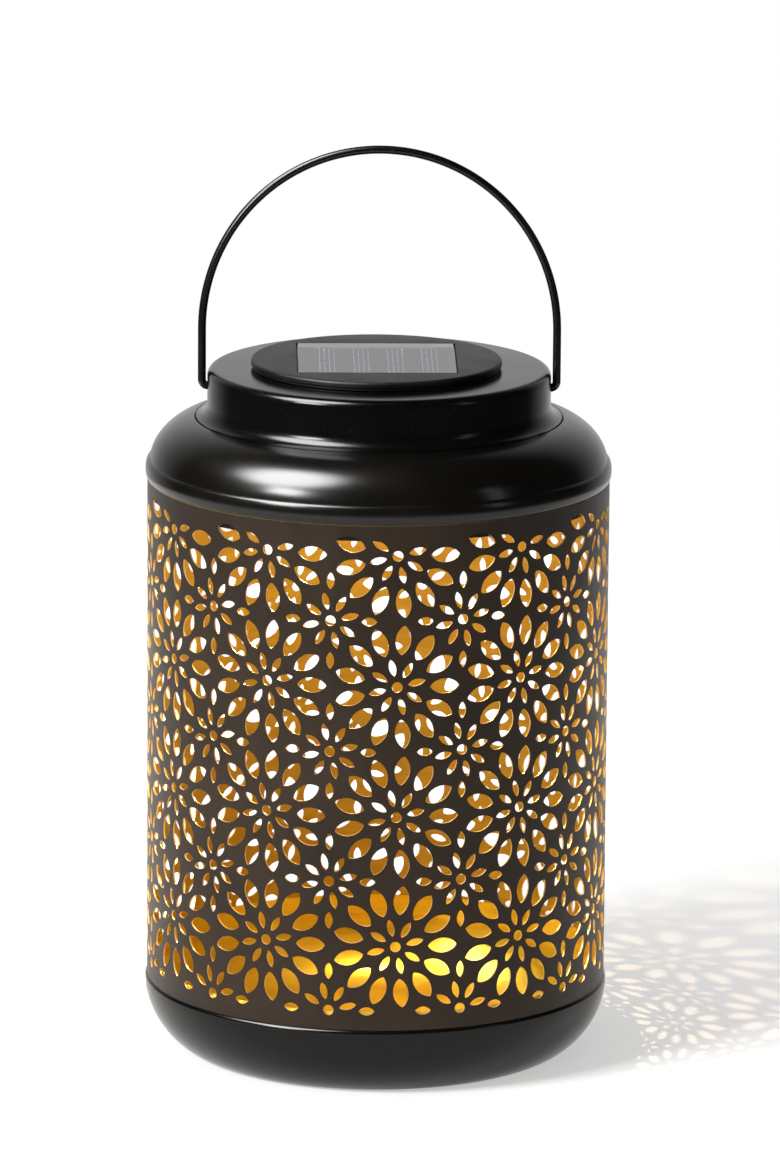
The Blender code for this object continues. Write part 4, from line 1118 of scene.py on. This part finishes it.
nub_foot = BATTERY_HALF - BATTERY_NUB_LENGTH
corner = BATTERY_RADIUS - BATTERY_SHOULDER
battery_outline = [(0.0, BATTERY_HALF), (BATTERY_NUB - BATTERY_NUB_EDGE, BATTERY_HALF)]
battery_outline += [(BATTERY_NUB, BATTERY_HALF - BATTERY_NUB_EDGE), (BATTERY_NUB, nub_foot)]
battery_outline += bend((corner, nub_foot - BATTERY_SHOULDER), BATTERY_SHOULDER, 90.0, 0.0, 6)
battery_outline += bend((corner, BATTERY_SHOULDER - BATTERY_HALF), BATTERY_SHOULDER, 0.0, -90.0, 6)
battery_outline.append((0.0, -BATTERY_HALF))
cell = spun(battery_outline, 64)
bmesh.ops.rotate(cell, verts=cell.verts, matrix=Matrix.Rotation(math.pi / 2, 3, "Y"))
bmesh.ops.translate(cell, vec=middle_of("battery"), verts=cell.verts)
battery = finished("battery_finish", placed(cell), wrap_material())
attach(battery, "solar_module")
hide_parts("battery")
finish_node("battery_plate", PLATED_STEEL)
finish_node("battery_spring", PLATED_STEEL)


# ---------------- leads
# Stranded wires in red and black plastic, one pair from the panel and one from the battery's
# contacts, soldered to the board.

RED_LEAD = plastic_material("red_lead", (0.36, 0.012, 0.010), (0.48, 0.02, 0.016), (0.35, 0.45))
BLACK_LEAD = plastic_material("black_lead", (0.010, 0.010, 0.010), (0.018, 0.018, 0.018), (0.35, 0.45))

for lead_end in ("panel", "battery"):
    finish_node(f"{lead_end}_lead_red", RED_LEAD)
    finish_node(f"{lead_end}_lead_black", BLACK_LEAD)


# ---------------- switch knob
# A small moulded knob that slides in the floor's slot, with three grooves for a fingertip. It is
# part of the switch's slider, which the steel can on the board holds.

knob_low, knob_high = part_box("switch_knob")
KNOB_SIZE = (4.0 * MM, 2.6 * MM)
KNOB_EDGE = 0.3 * MM
GROOVE_PITCH = 1.0 * MM
GROOVE_RADIUS = 0.22 * MM
GROOVE_HALF = Vector((0.0, 2.0 * MM, 0.0))

knob_middle = middle_of("switch_knob")
knob_block = softened(block_at(knob_middle, KNOB_SIZE, knob_low.z, knob_high.z), KNOB_EDGE, 3)
knob = finished("switch_knob_finish", placed(knob_block), BLACK_PLASTIC)
for number in (-1, 0, 1):
    groove = Vector((knob_middle.x + number * GROOVE_PITCH, knob_middle.y, knob_low.z))
    carve(knob, placed(bar(GROOVE_RADIUS, groove - GROOVE_HALF, groove + GROOVE_HALF, 16)))
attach(knob, "switch")
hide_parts("switch_knob")


# ---------------- battery door
# A moulded black door, flush with the housing's floor and snapped in from below. A notch near one
# edge takes a fingernail.

DOOR_EDGE = 0.2 * MM
NAIL_NOTCH_RADIUS = 0.7 * MM
NAIL_NOTCH_LENGTH = 8.0 * MM
NAIL_NOTCH_INSET = 2.4 * MM

door_middle = middle_of("battery_door")
door_block = softened(block_at(door_middle, DOOR_SIZE, door_low.z, door_high.z), DOOR_EDGE)
door = finished("battery_door_finish", placed(door_block), HOUSING_PLASTIC)
notch_y = door_middle.y - DOOR_SIZE[1] / 2 + NAIL_NOTCH_INSET
notch_ends = [(door_middle.x + side * NAIL_NOTCH_LENGTH / 2, notch_y, door_low.z) for side in (-1.0, 1.0)]
carve(door, placed(bar(NAIL_NOTCH_RADIUS, *notch_ends, 24)))
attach(door, "door")
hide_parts("battery_door")


# ---------------- floor and surroundings
# A seamless white table top, which stays white to the lens and to reflections and keeps the
# lantern's shadow, though its glow is painted weaker near the lantern, a painted shade round it
# that fades the shadow outwards; and a pale room that is dim behind the camera and bright at one high window.

TABLE_RADIUS = 0.75
TABLE_GAP = 0.05 * MM
# Painted shade: the table's own glow rises from its low end near the lantern to its high end further out,
# darkening the floor round the lantern and fading its shadow outwards.
GLOW_AND_PAINTED_SHADE_REACH = (0.14, 0.48)
TABLE_GLOW_AND_PAINTED_SHADE = (0.48, 0.80)
ROOM_LIGHT = 0.26
ROOM_TURN = (0.5, 0.97)
ROOM_SHINE = (0.03, 0.82)
WINDOW_DIRECTION = Vector((-0.90, -0.42, 1.29)).normalized()
WINDOW_SPREAD = (0.92, 0.97)
WINDOW_GLARE = 36.0


def calculated(tree, operation, first, second):
    """A sum, a product or the larger of two values."""
    node = tree.nodes.new("ShaderNodeMath")
    node.operation = operation
    tree.links.new(first, node.inputs[0])
    tree.links.new(second, node.inputs[1])
    return node.outputs["Value"]


def seen_rays(tree):
    """1 for the rays that reach the eye, a reflection or a pane, and 0 for the light's own."""
    path = tree.nodes.new("ShaderNodeLightPath")
    seen = calculated(tree, "MAXIMUM", path.outputs["Is Camera Ray"], path.outputs["Is Glossy Ray"])
    return calculated(tree, "MAXIMUM", seen, path.outputs["Is Transmission Ray"])


def floor_material():
    """White table top: a soft white surface with enough glow of its own to read as white, the glow weaker
    near the lantern as painted shade.
    """
    surface = {"Roughness": 0.9, "Specular_IOR_Level": 0.1, "Emission_Color": (1.0, 0.995, 0.985, 1.0)}
    material, tree, shader = new_material("white_table", **surface)
    material.cycles.emission_sampling = "NONE"
    vector = object_vector(tree)
    cloud = noise(tree, vector, 3.0, 2.0)
    away = tree.nodes.new("ShaderNodeVectorMath")
    away.operation = "LENGTH"
    tree.links.new(vector, away.inputs[0])
    # Painted shade: the glow is weakest near the lantern and rises outwards.
    glow_and_painted_shade = remap(tree, away.outputs["Value"], *GLOW_AND_PAINTED_SHADE_REACH, *TABLE_GLOW_AND_PAINTED_SHADE)
    strength = calculated(tree, "MULTIPLY", seen_rays(tree), glow_and_painted_shade)
    colour = shade_between(tree, cloud, (0.79, 0.79, 0.79), (0.81, 0.81, 0.81))
    feed(tree, shader, Base_Color=colour, Emission_Strength=strength)
    return material


floor_shape = bmesh.new()
bmesh.ops.create_circle(floor_shape, cap_ends=True, segments=96, radius=TABLE_RADIUS)
bmesh.ops.translate(floor_shape, vec=(0.0, 0.0, pan_low.z - TABLE_GAP), verts=floor_shape.verts)
floor = finished("table_top", floor_shape, floor_material())

world = bpy.data.worlds.new("pale_room")
bpy.context.scene.world = world
world.use_nodes = True
room = world.node_tree
room.nodes.clear()
output = room.nodes.new("ShaderNodeOutputWorld")
lit = room.nodes.new("ShaderNodeBackground")
lit.inputs["Color"].default_value = (1.0, 1.0, 1.0, 1.0)
lit.inputs["Strength"].default_value = ROOM_LIGHT
seen = room.nodes.new("ShaderNodeBackground")
seen.inputs["Strength"].default_value = 1.0
outward = room.nodes.new("ShaderNodeTexCoord").outputs["Generated"]
behind = remap(room, part_along(room, outward, "Y"), *ROOM_TURN, *ROOM_SHINE)
facing = room.nodes.new("ShaderNodeVectorMath")
facing.operation = "DOT_PRODUCT"
facing.inputs[1].default_value = WINDOW_DIRECTION
room.links.new(outward, facing.inputs[0])
window_light = remap(room, facing.outputs["Value"], *WINDOW_SPREAD, 0.0, WINDOW_GLARE)
surroundings = calculated(room, "ADD", behind, window_light)
eye = room.nodes.new("ShaderNodeLightPath").outputs["Is Camera Ray"]
room.links.new(calculated(room, "MAXIMUM", surroundings, eye), seen.inputs["Color"])
mix = room.nodes.new("ShaderNodeMixShader")
room.links.new(seen_rays(room), mix.inputs["Fac"])
room.links.new(lit.outputs["Background"], mix.inputs[1])
room.links.new(seen.outputs["Background"], mix.inputs[2])
room.links.new(mix.outputs["Shader"], output.inputs["Surface"])


# ---------------- lights and camera
# A large soft key at the left, a weak strip at the right, and the lantern's own warm light, which
# leaves the LED's window downwards and throws the flowers on the table.

LAMP_TARGET = Vector((0.0, 0.0, 0.12))
LED_LIGHT_SIZE = 4.0 * MM
LED_LIGHT_PLACE = (MODULE_CENTRE.x, 0.0, lens_low.z - 0.5 * MM)
CAMERA_PLACE = (0.0039, -2.7216, 0.7680)
CAMERA_LENS = 267.45
CAMERA_TILT = math.pi / 2 - 0.222816
CAMERA_ROLL = 0.007025


def area_lamp(name, shape, size, watts, colour):
    """A soft lamp of one shape, which faces straight down."""
    light = bpy.data.lights.new(name, "AREA")
    light.shape = shape
    light.size, light.size_y = size
    light.energy = watts
    light.color = colour
    lamp = bpy.data.objects.new(name, light)
    bpy.context.scene.collection.objects.link(lamp)
    return lamp


key = area_lamp("key_softbox", "RECTANGLE", (0.55, 0.45), 37.0, (1.0, 0.995, 0.98))
key.location = (-1.25, -1.1, 0.95)
strip = area_lamp("right_strip", "RECTANGLE", (0.25, 0.9), 1.0, (1.0, 1.0, 1.0))
strip.location = (1.6, -0.9, 0.7)
for lamp in (key, strip):
    lamp.rotation_euler = (LAMP_TARGET - lamp.location).to_track_quat("-Z", "Y").to_euler()
led_light = area_lamp("lantern_light", "DISK", (LED_LIGHT_SIZE, LED_LIGHT_SIZE), 0.27, (1.0, 0.74, 0.46))
led_light.location = LED_LIGHT_PLACE

camera_data = bpy.data.cameras.new("camera")
camera_data.lens = CAMERA_LENS
camera_data.sensor_width = 36.0
camera = bpy.data.objects.new("camera", camera_data)
bpy.context.scene.collection.objects.link(camera)
camera.matrix_world = (
    Matrix.Translation(CAMERA_PLACE)
    @ Matrix.Rotation(CAMERA_TILT, 4, "X")
    @ Matrix.Rotation(CAMERA_ROLL, 4, "Z")
)
bpy.context.scene.camera = camera
bpy.context.scene.view_settings.view_transform = "Standard"
